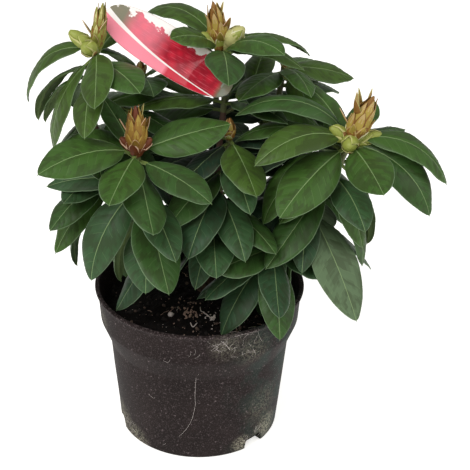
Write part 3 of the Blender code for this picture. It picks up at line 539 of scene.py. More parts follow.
def pot_profile():
    """The pot's section, from the middle of its inner floor over the lip to its underside."""
    lip_foot = POT_HEIGHT - LIP_DEPTH
    inner = [
        (0, POT_FLOOR),
        (FOOT_RADIUS - POT_WALL, POT_FLOOR),
        (BODY_TOP_RADIUS - POT_WALL, BODY_TOP_HEIGHT),
        (COLLAR_FOOT_RADIUS - POT_WALL, COLLAR_FOOT_HEIGHT),
        (COLLAR_TOP_RADIUS - POT_WALL, POT_HEIGHT),
    ]
    outer = [
        (LIP_RADIUS, POT_HEIGHT),
        (LIP_RADIUS, lip_foot),
        (COLLAR_TOP_RADIUS, lip_foot - 1 * MM),
        (COLLAR_FOOT_RADIUS, COLLAR_FOOT_HEIGHT),
        (BODY_TOP_RADIUS, BODY_TOP_HEIGHT),
        (FOOT_RADIUS, FOOT_ROUNDING),
        (FOOT_RADIUS - FOOT_ROUNDING, 0),
        (0, 0),
    ]
    return inner, outer


def peat_profile():
    """The peat's section, from its flat patch down the wall to its underside."""
    inner, _ = pot_profile()
    (_, floor), (foot, _), (body, body_z), (collar, collar_z), (top, top_z) = inner
    slope = (top - collar) / (top_z - collar_z)
    edge = collar + slope * (PEAT_EDGE_HEIGHT - collar_z)
    return [
        (0, PEAT_CROWN_HEIGHT),
        (PEAT_PATCH_RADIUS, PEAT_CROWN_HEIGHT),
        (0.5 * edge, 0.4 * PEAT_CROWN_HEIGHT + 0.6 * PEAT_EDGE_HEIGHT),
        (edge - FIT_GAP, PEAT_EDGE_HEIGHT),
        (collar - FIT_GAP, collar_z),
        (body - FIT_GAP, body_z),
        (foot - FIT_GAP, floor + FIT_GAP),
        (0, floor + FIT_GAP),
    ]


def fixed_space(limbs):
    """Everything that stems and leaves must keep clear of before any is placed."""
    space = Space()
    inner, outer = pot_profile()
    space.add(turned_skin(inner[1:] + outer[:-1]), "pot")
    space.add(turned_skin(peat_profile()[1:4]), "peat")
    for name, tube in limbs.items():
        space.add(tube_skin(tube, LIMB_CLEAR), name)
    return space


def bud_tube(top, bud, shape):
    """A bud as a tube: an egg shape with a pointed end."""
    bearing, pitch, length, radius = bud
    way = heading(bearing, pitch)
    points = [top + way * (length * MM * share) for share, _ in shape]
    return Tube(points, [radius * MM * share for _, share in shape])


def scale_leaves(shoot, top, draw):
    """The pointed scales that stand out from a flower bud."""
    bearing, pitch, length, radius = shoot.buds[0]
    axis = heading(bearing, pitch)
    scales = []
    for i in range(shoot.scales):
        root = top + axis * (length * MM * (SCALE_FOOT[0] + SCALE_FOOT[1] * i))
        rise = SCALE_PITCH[0] + SCALE_PITCH[1] * i + draw.uniform(-SCALE_PITCH_SWAY, SCALE_PITCH_SWAY)
        reach = radius + SCALE_LENGTH_SHARE * length + draw.uniform(*SCALE_LENGTH_SWAY)
        scales.append(Leaf(root, i * GOLDEN_ANGLE, rise, SCALE_DROOP, reach * MM,
                           draw.uniform(*SCALE_WIDTH) * MM, 0, SCALE_CUP))
    return scales


def crown_share(leaf, station):
    """How far out in the crown a place on a leaf lies: 0 at the crown's middle, 1 at its edge."""
    place = leaf_spine(leaf, LEAF_STATIONS)[station][0] - CROWN_CENTRE
    return sum((place[i] / CROWN_REACH[i]) ** 2 for i in range(3))


def rule_rows(shoot, plan, space, draw):
    """Leaves by the rule: whorls by the golden angle on the stem, then on each side twig."""
    rows = []
    for share, count, pitch in shoot.more:
        first = draw.uniform(0, 360)
        for i in range(count):
            rows.append((plan["stem"], share - WHORL_STEP * i, first + i * GOLDEN_ANGLE,
                         pitch + draw.uniform(-RULE_PITCH_SWAY, RULE_PITCH_SWAY),
                         draw.uniform(*RULE_DROOP), draw.uniform(*RULE_LENGTH),
                         draw.uniform(*RULE_WIDTH), draw.uniform(-RULE_ROLL_SWAY, RULE_ROLL_SWAY)))
    for _ in range(shoot.twigs):
        twig = grow_twig(shoot, plan, space, draw)
        if twig:
            first = draw.uniform(0, 360)
            for i in range(TWIG_LEAVES):
                rows.append((twig, 1 - TWIG_LEAF_STEP * i, first + i * GOLDEN_ANGLE,
                             draw.uniform(*TWIG_LEAF_PITCH), TWIG_LEAF_DROOP,
                             draw.uniform(*TWIG_LEAF_LENGTH), draw.uniform(*TWIG_LEAF_WIDTH), 0))
    return rows


def grow(shoot, plan, space, draw, seen):
    """Place a shoot's leaves: the ones stated for it, or the ones that the rule gives it."""
    rows = [(plan["stem"], *row) for row in shoot.seen] if seen else rule_rows(shoot, plan, space, draw)
    own_stem = shoot.name + "_stem"
    sway = SEEN_SWAY if seen else RULE_SWAY
    for tube, share, bearing, pitch, droop, length, width, roll in rows:
        root, _ = along(tube.points, share)
        for attempt in range(LEAF_TRIES):
            leaf = Leaf(root, bearing + draw.uniform(-sway, sway) * attempt,
                        pitch + draw.uniform(-sway, sway) * attempt, droop,
                        length * MM * (1 - TRY_SHRINK * attempt), width * MM, roll,
                        draw.uniform(*LEAF_CUP))
            if not seen and crown_share(leaf, -1) > 1:
                continue
            whole = leaf_envelope(leaf, LEAF_STATIONS, KEEP_CLEAR, 0)
            blade = leaf_envelope(leaf, LEAF_STATIONS, KEEP_CLEAR, 1)
            if space.hits(whole, (shoot.name, own_stem)) or space.hits(blade, (own_stem,)):
                continue
            space.add(whole, shoot.name)
            plan["leaves"].append(leaf)
            break


def grow_twig(shoot, plan, space, draw):
    """A side twig that leaves the stem in the first free direction."""
    start, _ = along(plan["stem"].points, draw.uniform(*TWIG_SHARE))
    first = draw.uniform(0, 360)
    for attempt in range(TWIG_TRIES):
        bearing = first + attempt * GOLDEN_ANGLE
        end = start + heading(bearing, TWIG_PITCH) * TWIG_LENGTH
        points = bezier(start, heading(bearing, TWIG_FOOT_PITCH), end,
                        heading(bearing, TWIG_TOP_PITCH), TWIG_POINTS)
        twig = tapered(points, TWIG_RADIUS, TWIG_TAPER * TWIG_RADIUS)
        outside = Tube(points[1:], twig.radii[1:])
        if not space.hits(tube_skin(outside, KEEP_CLEAR), (shoot.name + "_stem",)):
            space.add(tube_skin(twig), shoot.name + "_stem")
            plan["twigs"].append(twig)
            return twig
    return None


def card_outline(count):
    """The card's oval edge, as points along and across it."""
    power = 2 / CARD_SQUARENESS
    points = []
    for i in range(count):
        angle = 2 * math.pi * i / count
        x, y = math.cos(angle), math.sin(angle)
        points.append((0.5 * CARD_LENGTH * math.copysign(abs(x) ** power, x),
                       0.5 * CARD_WIDTH * math.copysign(abs(y) ** power, y)))
    return points


def card_normal():
    """The way that the printed side faces."""
    return CARD_ALONG.cross(CARD_ACROSS).normalized()


def strap_path(stem):
    """Points of the strap and its width direction, from the card round the stem."""
    middle, axis = along(stem.points, STRAP_SHARE)
    start = CARD_CENTRE + CARD_ALONG * (0.5 * CARD_LENGTH - STRAP_INSET)
    side = (start - middle) - axis * (start - middle).dot(axis)
    side.normalize()
    turn = axis.cross(side)
    radius = STEM_RADIUS + STRAP_LOOP_GAP + 0.5 * STRAP_THICKNESS
    loop = []
    for i in range(STRAP_LOOP_POINTS):
        angle = math.radians(STRAP_LOOP_START + STRAP_LOOP_TURN * i / (STRAP_LOOP_POINTS - 1))
        loop.append(middle + (side * math.cos(angle) + turn * math.sin(angle)) * radius)
    lead = bezier(start, CARD_ALONG, loop[0], loop[1] - loop[0], STRAP_LEAD_POINTS)
    points = lead[:-1] + loop
    widths = []
    for i in range(len(points)):
        blend = min(1.0, i / (STRAP_LEAD_POINTS - 1))
        widths.append(CARD_ACROSS.lerp(axis, blend).normalized())
    return points, widths


def card_skin(stem, margin):
    """Skins of the card and its strap, for testing what would touch them."""
    edge = card_outline(CARD_EDGE_POINTS)
    wider = 1 + margin / (0.5 * CARD_WIDTH)
    verts = [CARD_CENTRE + CARD_ALONG * (x * wider) + CARD_ACROSS * (y * wider) + card_normal() * lift
             for lift in (margin, -margin) for x, y in edge]
    size = len(edge)
    faces = [tuple(range(size)), tuple(range(size, 2 * size))]
    faces += [(i, (i + 1) % size, size + (i + 1) % size, size + i) for i in range(size)]
    points, _ = strap_path(stem)
    return (verts, faces), tube_skin(Tube(points, [0.5 * STRAP_WIDTH] * len(points)), sides=6)


def plan_crown(limbs):
    """Every stem, twig, leaf and bud of the crown, each kept clear of what is there before."""
    draw = random.Random(SEEN_SEED)
    space = fixed_space(limbs)
    stems = {shoot.name: stem_tube(shoot, limbs) for shoot in SHOOTS}
    for skin in card_skin(stems[CARD_SHOOT], CARD_CLEAR):
        space.add(skin, "care_card")
    plans = {}
    for shoot in SHOOTS:
        stem = stems[shoot.name]
        own_stem = shoot.name + "_stem"
        space.add(tube_skin(stem, LIMB_CLEAR), own_stem)
        for index, bud in enumerate(shoot.buds):
            tube = bud_tube(stem.points[-1], bud, SIDE_BUD_SHAPE if index else BUD_SHAPE)
            space.add(tube_skin(Tube(tube.points[1:], tube.radii[1:]), LIMB_CLEAR), own_stem)
        plans[shoot.name] = {"stem": stem, "twigs": [], "leaves": [], "scales": []}
        for scale in scale_leaves(shoot, stem.points[-1], draw):
            skin = leaf_envelope(scale, SCALE_STATIONS, SCALE_CLEAR, 0)
            if not space.hits(skin, (own_stem,)):
                space.add(skin, own_stem)
                plans[shoot.name]["scales"].append(scale)
    inner = [shoot._replace(more=INNER_WHORLS, twigs=0) for shoot in SHOOTS]
    for shoots, dice, seen in ((SHOOTS, draw, True), (SHOOTS, random.Random(RULE_SEED), False),
                               (inner, random.Random(INNER_SEED), False)):
        for shoot in shoots:
            grow(shoot, plans[shoot.name], space, dice, seen)
    return plans


@lru_cache(maxsize=None)
def grown():
    """The limbs and the plan of the crown, worked out once."""
    limbs = limb_tubes()
    return limbs, plan_crown(limbs)


# Colour and finish

def srgb(colour):
    """Linear red, green and blue of an sRGB hex colour."""
    channels = [int(colour[i:i + 2], 16) / 255 for i in (1, 3, 5)]
    return tuple(c / 12.92 if c <= 0.04045 else ((c + 0.055) / 1.055) ** 2.4 for c in channels)


def between(first, second, share):
    """A colour part of the way from the first to the second."""
    return tuple(a + (b - a) * share for a, b in zip(first, second))


def tint(name, default, description):
    """A colour that the user can change."""
    return FloatVectorProperty(name=name, description=description, default=srgb(default),
                               subtype="COLOR", size=3, min=0.0, max=1.0)


def size(name, default, description):
    """A length that the user can change."""
    return FloatProperty(name=name, description=description, default=default, unit="LENGTH",
                         min=0.0, precision=5)


def strength(name, default, description):
    """A share from 0 to 1 that the user can change."""
    return FloatProperty(name=name, description=description, default=default, subtype="FACTOR",
                         min=0.0, max=1.0)


def new_finish(name, colour, roughness, ior=1.5, coat=0.0, coat_roughness=0.1):
    """A material whose shader holds plain values, ready for more nodes."""
    material = bpy.data.materials.new(name)
    material.use_nodes = True
    tree = material.node_tree
    shader = tree.nodes["Principled BSDF"]
    shader.inputs["Base Color"].default_value = (*colour, 1.0)
    shader.inputs["Roughness"].default_value = roughness
    shader.inputs["IOR"].default_value = ior
    shader.inputs["Coat Weight"].default_value = coat
    shader.inputs["Coat Roughness"].default_value = coat_roughness
    return material, tree, shader


def add_node(tree, kind, inputs=(), out=0, **settings):
    """Add a node with its settings; each input is a plain value or a socket to link from.

    What comes back is one of its output sockets."""
    made = tree.nodes.new("ShaderNode" + kind)
    for name, value in settings.items():
        setattr(made, name, value)
    for name, value in dict(inputs).items():
        if isinstance(value, bpy.types.NodeSocket):
            tree.links.new(value, made.inputs[name])
        else:
            made.inputs[name].default_value = value
    return made.outputs[out]


def stain(tree, under, tone, amount, low, high, most=1.0, where=None):
    """Mix a tone into a colour as an amount runs from low to high; where holds it to one place."""
    share = add_node(tree, "MapRange", {"Value": amount, "From Min": low, "From Max": high,
                                        "To Max": most})
    if where:
        share = add_node(tree, "Math", {0: share, 1: where}, operation="MULTIPLY")
    return add_node(tree, "Mix", {"Factor": share, 6: under, 7: (*tone, 1)}, out=2, data_type="RGBA")


# Mesh building

NOISE_CELLS = 64
NOISE_SEEDS = 10000


def smooth(value):
    """An S-shaped step from 0 to 1."""
    value = np.clip(value, 0.0, 1.0)
    return value * value * (3 - 2 * value)


def lumps(i, j, seed, wrap=NOISE_CELLS):
    """Smooth random values from -1 to 1, one cell per whole number; j repeats after wrap cells."""
    table = np.random.default_rng(seed).uniform(-1, 1, (NOISE_CELLS, wrap))
    a, b = np.floor(i).astype(int), np.floor(j).astype(int)
    u, v = smooth(i - a), smooth(j - b)
    a0, a1, b0, b1 = a % NOISE_CELLS, (a + 1) % NOISE_CELLS, b % wrap, (b + 1) % wrap
    near = table[a0, b0] * (1 - u) + table[a1, b0] * u
    far = table[a0, b1] * (1 - u) + table[a1, b1] * u
    return near * (1 - v) + far * v


def unit(vectors):
    """Vectors of length 1 with the same ways."""
    return vectors / np.linalg.norm(vectors, axis=-1, keepdims=True)


def circle(sides):
    """Even angles all round."""
    return 2 * np.pi * np.arange(sides) / sides


def link_object(name, data):
    """A new object in the scene."""
    made = bpy.data.objects.new(name, data)
    bpy.context.scene.collection.objects.link(made)
    return made


class Heap:
    """Vertices, four-sided faces and material slots of one piece while it is put together."""

    def __init__(self):
        self.verts, self.faces, self.slots, self.count = [], [], [], 0

    def add(self, verts, faces, slots=0):
        self.verts.append(verts)
        self.faces.append(faces + self.count)
        self.slots.append(np.broadcast_to(np.asarray(slots), (len(faces),)))
        self.count += len(verts)

    def piece(self, name, materials):
        """The piece as one smooth mesh object."""
        mesh = bpy.data.meshes.new(name)
        mesh.from_pydata(np.concatenate(self.verts), [], np.concatenate(self.faces).tolist())
        mesh.polygons.foreach_set("material_index", np.concatenate(self.slots).astype(np.int32))
        mesh.shade_smooth()
        for material in materials:
            mesh.materials.append(material)
        mesh.update()
        return link_object(name, mesh)


def settle(piece, slot, *nodes):
    """Let a piece ride on the plant and stand for CAD nodes, which it hides. The slot is not used."""
    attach(piece, "root")
    if nodes:
        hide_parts(*nodes)


def closed_sheet(top, bottom):
    """A thin closed body between two grids of points: top, bottom, left and right rims, two ends."""
    rows, cols = top.shape[:2]
    g = np.arange(rows * cols).reshape(rows, cols)
    u = g + rows * cols
    parts = [
        (g[:-1, :-1], g[1:, :-1], g[1:, 1:], g[:-1, 1:]),
        (u[:-1, :-1], u[:-1, 1:], u[1:, 1:], u[1:, :-1]),
        (g[:-1, 0], u[:-1, 0], u[1:, 0], g[1:, 0]),
        (g[:-1, -1], g[1:, -1], u[1:, -1], u[:-1, -1]),
        (g[0, :-1], g[0, 1:], u[0, 1:], u[0, :-1]),
        (g[-1, :-1], u[-1, :-1], u[-1, 1:], g[-1, 1:]),
    ]
    faces = np.concatenate([np.stack(part, -1).reshape(-1, 4) for part in parts])
    return np.concatenate([top.reshape(-1, 3), bottom.reshape(-1, 3)]), faces


CURVE_STEPS = 10
LEAST_RINGS = 4


def smooth_path(points, radii, spacing):
    """Evenly spaced points with radii on a smooth curve through the given ones, and their run."""
    knots = np.array([[*point, radius] for point, radius in zip(points, radii)])
    padded = np.vstack([2 * knots[0] - knots[1], knots, 2 * knots[-1] - knots[-2]])
    t = np.linspace(0, 1, CURVE_STEPS, endpoint=False)[:, None]
    dense = [0.5 * (2 * b + (c - a) * t + (2 * a - 5 * b + 4 * c - d) * t ** 2
                    + (3 * b - a - 3 * c + d) * t ** 3)
             for a, b, c, d in zip(padded, padded[1:], padded[2:], padded[3:])]
    dense = np.vstack(dense + [knots[-1:]])
    steps = np.linalg.norm(np.diff(dense[:, :3], axis=0), axis=1)
    run = np.concatenate([[0.0], np.cumsum(steps)])
    places = np.linspace(0, run[-1], max(LEAST_RINGS, int(run[-1] / spacing) + 1))
    return np.stack([np.interp(places, run, dense[:, i]) for i in range(4)], 1), places


def closed_rings(rings):
    """A closed body through rings of points, each end shut by a strip of faces."""
    count, sides = rings.shape[:2]
    g = np.arange(count * sides).reshape(count, sides)
    n = np.roll(g, -1, axis=1)
    wall = np.stack([g[:-1], n[:-1], n[1:], g[1:]], -1).reshape(-1, 4)
    k = np.arange(sides // 2 - 1)
    shut = np.stack([k, k + 1, sides - 2 - k, sides - 1 - k], -1)
    return rings.reshape(-1, 3), np.concatenate([wall, shut[:, ::-1], shut + (count - 1) * sides])


# The rounded end of a stem: its length and its width as shares of the radius
CAP_LENGTH = 0.4
CAP_WIDTH = 0.5
STRAND_SIDES = 6


def round_ring(side, up, sides):
    """Directions all round from two that are square to each other."""
    angle = circle(sides)[:, None]
    return side * np.cos(angle) + up * np.sin(angle)


def tube_body(tube, sides, spacing, relief=None):
    """A closed round stem with rounded ends; relief gives extra radius from run and angle."""
    path, run = smooth_path(tube.points, tube.radii, spacing)
    centre, radius = path[:, :3], path[:, 3]
    way = unit(np.gradient(centre, axis=0))
    side = np.empty_like(way)
    side[0] = unit(np.cross(way[0], (0.31, 0.95, 0.05)))
    for i in range(1, len(way)):
        side[i] = unit(side[i - 1] - way[i] * (side[i - 1] @ way[i]))
    ring = round_ring(side[:, None], np.cross(way, side)[:, None], sides)
    reach = radius[:, None] + (relief(run[:, None], circle(sides)[None, :]) if relief else 0.0)
    rings = centre[:, None] + ring * reach[..., None]
    first = centre[0] - way[0] * CAP_LENGTH * radius[0] + ring[:1] * reach[:1, :, None] * CAP_WIDTH
    last = centre[-1] + way[-1] * CAP_LENGTH * radius[-1] + ring[-1:] * reach[-1:, :, None] * CAP_WIDTH
    return closed_rings(np.concatenate([first, rings, last]))


def strand(points, radius, spacing):
    """A thin round thread through points."""
    return tube_body(Tube(points, [radius] * len(points)), STRAND_SIDES, spacing)


# Leaves

# Rows of a blade as shares of its length, with a pair of side veins at even steps
VEIN_PAIRS = 9
VEIN_HALF_SHARE = 0.0032
FIRST_VEIN = 0.065
VEIN_SPAN = 0.83
FOOT_ROWS = (0.0, 0.03)
BETWEEN_VEINS = (0.25, 0.5, 0.75)
TIP_ROWS = (0.925, 0.95, 0.972, 0.988, 1.0)
STRIP_SHARES = np.array([0, 0.05, 0.21, 0.37, 0.53, 0.69, 0.85, 0.97, 1.0])
BLADE_STRIPS = 6
STRIPS = np.concatenate([-STRIP_SHARES[:0:-1], STRIP_SHARES])[None, :]
WIDTH_SHARES = np.abs(STRIPS)
STALK_ROWS = 5
SPINE_ROWS = 48
TURN_CENTRE = 0.3

# Relief of a blade: the midrib's groove and ridge, waves, puckers and the rim that rolls under
GROOVE_REACH = 1.1 * MM
RIDGE_REACH = 1.2 * MM
RIDGE_HEIGHT = 0.3 * MM
RIDGE_FOOT = 1.6 * MM
WAVE_HEIGHT = 0.8 * MM
PUCKER_HEIGHT = 0.22 * MM
PUCKER_SIZE = 4.2 * MM
RIM_DROP = 1.0 * MM
TIP_REACH = 1.2 * MM


def blade_rows():
    """Rows of a blade: share of the blade, place between two side veins, and which are veins."""
    rows = [(share, 0.0, False) for share in FOOT_ROWS]
    gap = VEIN_SPAN / (VEIN_PAIRS - 1)
    for k in range(VEIN_PAIRS):
        mark = FIRST_VEIN + k * gap
        rows += [(mark - VEIN_HALF_SHARE, 0.0, True), (mark + VEIN_HALF_SHARE, 0.0, False)]
        if k < VEIN_PAIRS - 1:
            rows += [(mark + gap * part, part, False) for part in BETWEEN_VEINS]
    rows += [(share, 0.0, False) for share in TIP_ROWS]
    return [np.array(column) for column in zip(*rows)]


BLADE_SHARES, BLADE_PHASES, BLADE_VEINS = blade_rows()


def fine_spine(leaf, bend, twist):
    """Shares of a leaf's length with the midrib's points and its across and upward vectors."""
    share = np.linspace(0, 1, SPINE_ROWS)
    middle = 0.5 * (share[1:] + share[:-1])

    def ways(at):
        turn = np.radians(leaf.bearing + bend * (at - TURN_CENTRE))
        rise = np.radians(leaf.pitch + leaf.droop * (0.5 - at))
        return turn, np.stack([np.sin(turn) * np.cos(rise), -np.cos(turn) * np.cos(rise),
                               np.sin(rise)], -1)

    steps = ways(middle)[1] * (leaf.length / (SPINE_ROWS - 1))
    point = np.array(leaf.root) + np.concatenate([np.zeros((1, 3)), np.cumsum(steps, axis=0)])
    turn, way = ways(share)
    across = np.stack([np.cos(turn), np.sin(turn), 0 * turn], -1)
    upward = np.cross(way, across)
    roll = np.radians(leaf.roll + twist * (share - TURN_CENTRE))[:, None]
    across = across * np.cos(roll) + upward * np.sin(roll)
    return share, point, across, np.cross(way, across)


def sampled(share, table, at):
    """Rows of a table that is known at some shares, read between them."""
    return np.stack([np.interp(at, share, table[:, i]) for i in range(3)], -1)


def leaf_grid(leaf, look):
    """A leaf laid flat: each grid point's share of the leaf and of the blade, its reach across
    the leaf, signed by side, and half the leaf's width there."""
    stalk = np.linspace(0, STALK_SHARE, STALK_ROWS, endpoint=False)
    f = WIDTH_SHARES
    # Side veins run forward, so the rows slant; those of the right side start further on
    blade = BLADE_SHARES[:, None]
    slope = 0.8 * 0.5 * leaf.width / leaf.length
    hold = np.minimum(1, 6 * blade) * np.minimum(1, 3.0 * (1 - blade))
    alternate = 0.045 * smooth(f / 0.25) * (STRIPS > 0)
    blade = blade + (slope * f ** 1.3 + alternate) * hold
    at = np.vstack([np.repeat(stalk[:, None], STRIPS.size, 1),
                    STALK_SHARE + (1 - STALK_SHARE) * blade])
    inner = np.clip((at - STALK_SHARE) / (1 - STALK_SHARE), 0, 1)
    swell = np.maximum(np.sin(np.pi * inner ** 0.93), 0) ** 0.64
    narrow = np.minimum(STALK_HALF_WIDTH, STALK_WIDTH_SHARE * leaf.width)
    half = np.hypot(narrow * (1 - 0.78 * smooth(inner / 0.35)), 0.5 * leaf.width * swell)
    # The midrib and the margin keep their widths, and the strips between share the rest
    rib = np.minimum(look.midrib_width * (0.5 - 0.32 * inner), 0.5 * half)
    rim = np.minimum(look.margin_width, 0.25 * half)
    step = np.abs(np.arange(STRIPS.size) - STRIPS.size // 2)[None, :]
    out = np.where(step == 0, 0, rib + (half - rim - rib) * (step - 1) / BLADE_STRIPS)
    out = np.where(step > BLADE_STRIPS + 1, half, out)
    return at, inner, out * np.sign(STRIPS), half


def leaf_relief(leaf, look, grid, draw):
    """How far each point of a leaf's upper side lies above its midrib's plane."""
    at, inner, x, half = grid
    f = WIDTH_SHARES
    phase = np.concatenate([np.zeros(STALK_ROWS), BLADE_PHASES])[:, None]
    bulge = look.vein_relief * np.sin(np.pi * phase) ** 0.7
    bulge = bulge * (1 - f ** 4) * smooth(f / 0.12) * (0.4 + 0.6 * smooth(half / 0.008))
    waves = [draw.uniform(0, 2 * math.pi) for _ in range(4)]
    sway = f ** 2 * (np.sin(2 * np.pi * 1.3 * inner + np.where(STRIPS > 0, waves[0], waves[1]))
                     + 0.5 * np.sin(2 * np.pi * 2.9 * inner + np.where(STRIPS > 0, waves[2], waves[3])))
    puckers = lumps(60 * at, x / PUCKER_SIZE + 20, draw.randrange(NOISE_SEEDS))
    return (bulge - leaf.cup * half * f ** 1.7
            - look.midrib_depth * (1 - 0.5 * inner) * np.exp(-(x / GROOVE_REACH) ** 2)
            + WAVE_HEIGHT * sway * smooth(half / 0.01)
            + PUCKER_HEIGHT * smooth(half / 0.006) * puckers
            - RIM_DROP * np.clip((f - 0.8) / 0.2, 0, 1) ** 2 * smooth(half / 0.01))


def leaf_body(leaf, look, draw):
    """One leaf as a closed body with its midrib, side veins, rolled margin and stalk."""
    share, point, across, upward = fine_spine(leaf, draw.uniform(-5, 5), draw.uniform(-14, 14))
    grid = leaf_grid(leaf, look)
    at, inner, x, _ = grid
    lift = leaf_relief(leaf, look, grid, draw)
    f = WIDTH_SHARES
    ridge = RIDGE_HEIGHT + RIDGE_FOOT * (1 - smooth(inner / 0.9))
    thick = look.leaf_thickness * (1 - 0.35 * f) + ridge * np.exp(-(x / RIDGE_REACH) ** 2)
    place, a, u = (sampled(share, table, at) for table in (point, across, upward))
    top = place + a * x[..., None] + u * lift[..., None]
    # One more row closes the tip to a blunt point
    middle = top[-1:].mean(1, keepdims=True)
    tip = unit(point[-1] - point[-3]) * TIP_REACH
    top = np.concatenate([top, (top[-1:] - middle) * 0.3 + middle + tip])
    thick = np.concatenate([thick, thick[-1:] * 0.6])
    bottom = top - np.concatenate([u, u[-1:]]) * thick[..., None]
    return closed_sheet(top, bottom)


# Slots of a leaf piece: three that every leaf shares, then six for each tint
UNDERSIDE, STALK, SHADED_UNDERSIDE = range(3)
BLADE, VEIN, FAINT, BLOTCH, MIDRIB, MARGIN = range(6)
SHARED_SLOTS = 3
TINT_SLOTS = 6
LEAF_TINTS = ("upper", "lit", "middle", "lower", "shaded", "dusty", "young", "deep")
FIRST_SHADED_TINT = 3

# Tints by height: the height is counted from TINT_FOOT in steps of TINT_RISE, and sways. The lighter
# tints at the top are partly painted light, and the darker ones low down partly painted shade
TINT_FOOT = 200 * MM
TINT_RISE = 150 * MM
TINT_SWAY = 0.22
TINT_LIMITS = (0.95, 0.66, 0.36, 0.08)
YOUNG_WIDTH = 13 * MM
# A few low leaves get a greyer, duller tint
GREY_TINT_CHANCE = 0.07
GREY_TINT_LIMIT = 0.6
# Painted shade: leaves whose middle lies this far inside the crown get the near-black inner tint
PAINTED_SHADE_SHARE = 0.2
PAINTED_SHADE_STATION = 3

# Mottling: cells of a patch along and across the leaf, how ragged it is, and its two levels
PATCH_CELL = (3.6, 2.0)
PATCH_RAGGED = 0.22
FAINT_LEVEL = 0.1
BLOTCH_LEVEL = 0.42


def leaf_slots(tint_index, under, seed):
    """Material slots of a leaf's faces, in the order that closed_sheet lists them."""
    rows = STALK_ROWS + len(BLADE_SHARES)
    cols = STRIPS.size - 1
    middle = [cols // 2 - 1, cols // 2]
    tint = SHARED_SLOTS + TINT_SLOTS * tint_index
    vein = np.concatenate([np.zeros(STALK_ROWS, bool), BLADE_VEINS])[:, None]
    row, col = np.arange(rows)[:, None], np.arange(cols)[None, :]
    patchy = lumps(row / PATCH_CELL[0], col / PATCH_CELL[1], seed) + 0.03 * np.abs(col - cols / 2 + 0.5)
    patchy = patchy + np.random.default_rng(seed).uniform(-PATCH_RAGGED, PATCH_RAGGED, (rows, cols))
    plain = np.where(vein, VEIN, BLADE)
    top = tint + np.where(patchy > BLOTCH_LEVEL, BLOTCH, np.where(patchy > FAINT_LEVEL, FAINT, plain))
    top[:, middle] = tint + MIDRIB
    top[:, [0, -1]] = tint + MARGIN
    bottom = np.full((rows, cols), under)
    bottom[:, middle] = STALK
    rims = np.full((2, rows), tint + MARGIN)
    top[:STALK_ROWS] = bottom[:STALK_ROWS] = rims[:, :STALK_ROWS] = STALK
    return np.concatenate([top.ravel(), bottom.ravel(), rims.ravel(), np.full(2 * cols, STALK)])


def leaf_tint(leaf, draw):
    """Higher leaves are yellower and lower ones bluish and darker, partly their own colour and partly
    painted light and painted shade; inner ones get a near-black tint that is painted shade, and a few
    low ones are greyer.
    """
    if leaf.width < YOUNG_WIDTH:
        return LEAF_TINTS.index("young")
    height = (leaf.root.z - TINT_FOOT) / TINT_RISE + draw.gauss(0, TINT_SWAY)
    if draw.random() < GREY_TINT_CHANCE and height < GREY_TINT_LIMIT:
        return LEAF_TINTS.index("dusty")
    # Painted shade for the leaves deep in the crown
    if crown_share(leaf, PAINTED_SHADE_STATION) < PAINTED_SHADE_SHARE:
        return LEAF_TINTS.index("deep")
    return sum(height <= limit for limit in TINT_LIMITS)


def leaf_finishes(look):
    """Rhododendron leaves: leathery, waxed on top, so they get a soft broad sheen and no sparkle.

    Each tint is a plain base colour dealt out by leaf, because the leaves are joined."""
    def plain(name, colour, roughness):
        finish, _, shader = new_finish(name, colour, roughness, ior=1.45)
        shader.inputs["Specular IOR Level"].default_value = look.sheen
        return finish

    made = [
        plain("leaf_underside_felted", look.underside, 0.65),
        plain("leaf_stalk_waxed", look.stalk, 0.5),
        # Painted shade: a darker copy of the underside for leaves of the lower tints
        plain("leaf_underside_shaded", between(look.underside, look.shaded, 0.5), 0.65),
    ]
    for name in LEAF_TINTS:
        colour = getattr(look, name)
        rough = 0.6 if name == "dusty" else look.sheen_roughness
        for part, other, share in (("blade", colour, 0), ("vein", look.midrib, 0.09),
                                   ("faint", look.blotch, 0.20), ("blotch", look.blotch, 0.40),
                                   ("midrib", look.midrib, 0.52),
                                   # The pale margin is partly the blade's own pale edge and partly a
                                   # painted edge highlight
                                   ("margin", look.margin, 0.42)):
            made.append(plain("leaf_%s_%s" % (part, name), between(colour, other, share), rough))
    return made


# Buds and stems

Bud = namedtuple("Bud", "top axes length radius shape")
BUD_SEED = 31
BUD_RINGS = 16
BUD_SIDES = 14
BUD_CORE_SHARE = 0.93

# A scale's mesh, its foot on the bud, its thickness and its fine lengthwise ribs
SCALE_ROWS = 12
SCALE_COLS = 8
SCALE_START = -0.05
SCALE_THICKNESS = 0.5 * MM
LEAF_BUD_SCALE_THICKNESS = 0.4 * MM
SCALE_RIB = 0.12 * MM


def bud_radius(at, shape):
    """Share of a bud's widest radius at a share of its height."""
    return np.interp(at, [s for s, _ in shape] + [1.3], [r for _, r in shape] + [0.03])


def axes(way):
    """A way and two directions square to it and to each other."""
    way = np.array(way)
    side = unit(np.cross(way, (0.2, 0.9, 0.35)))
    return way, side, np.cross(way, side)


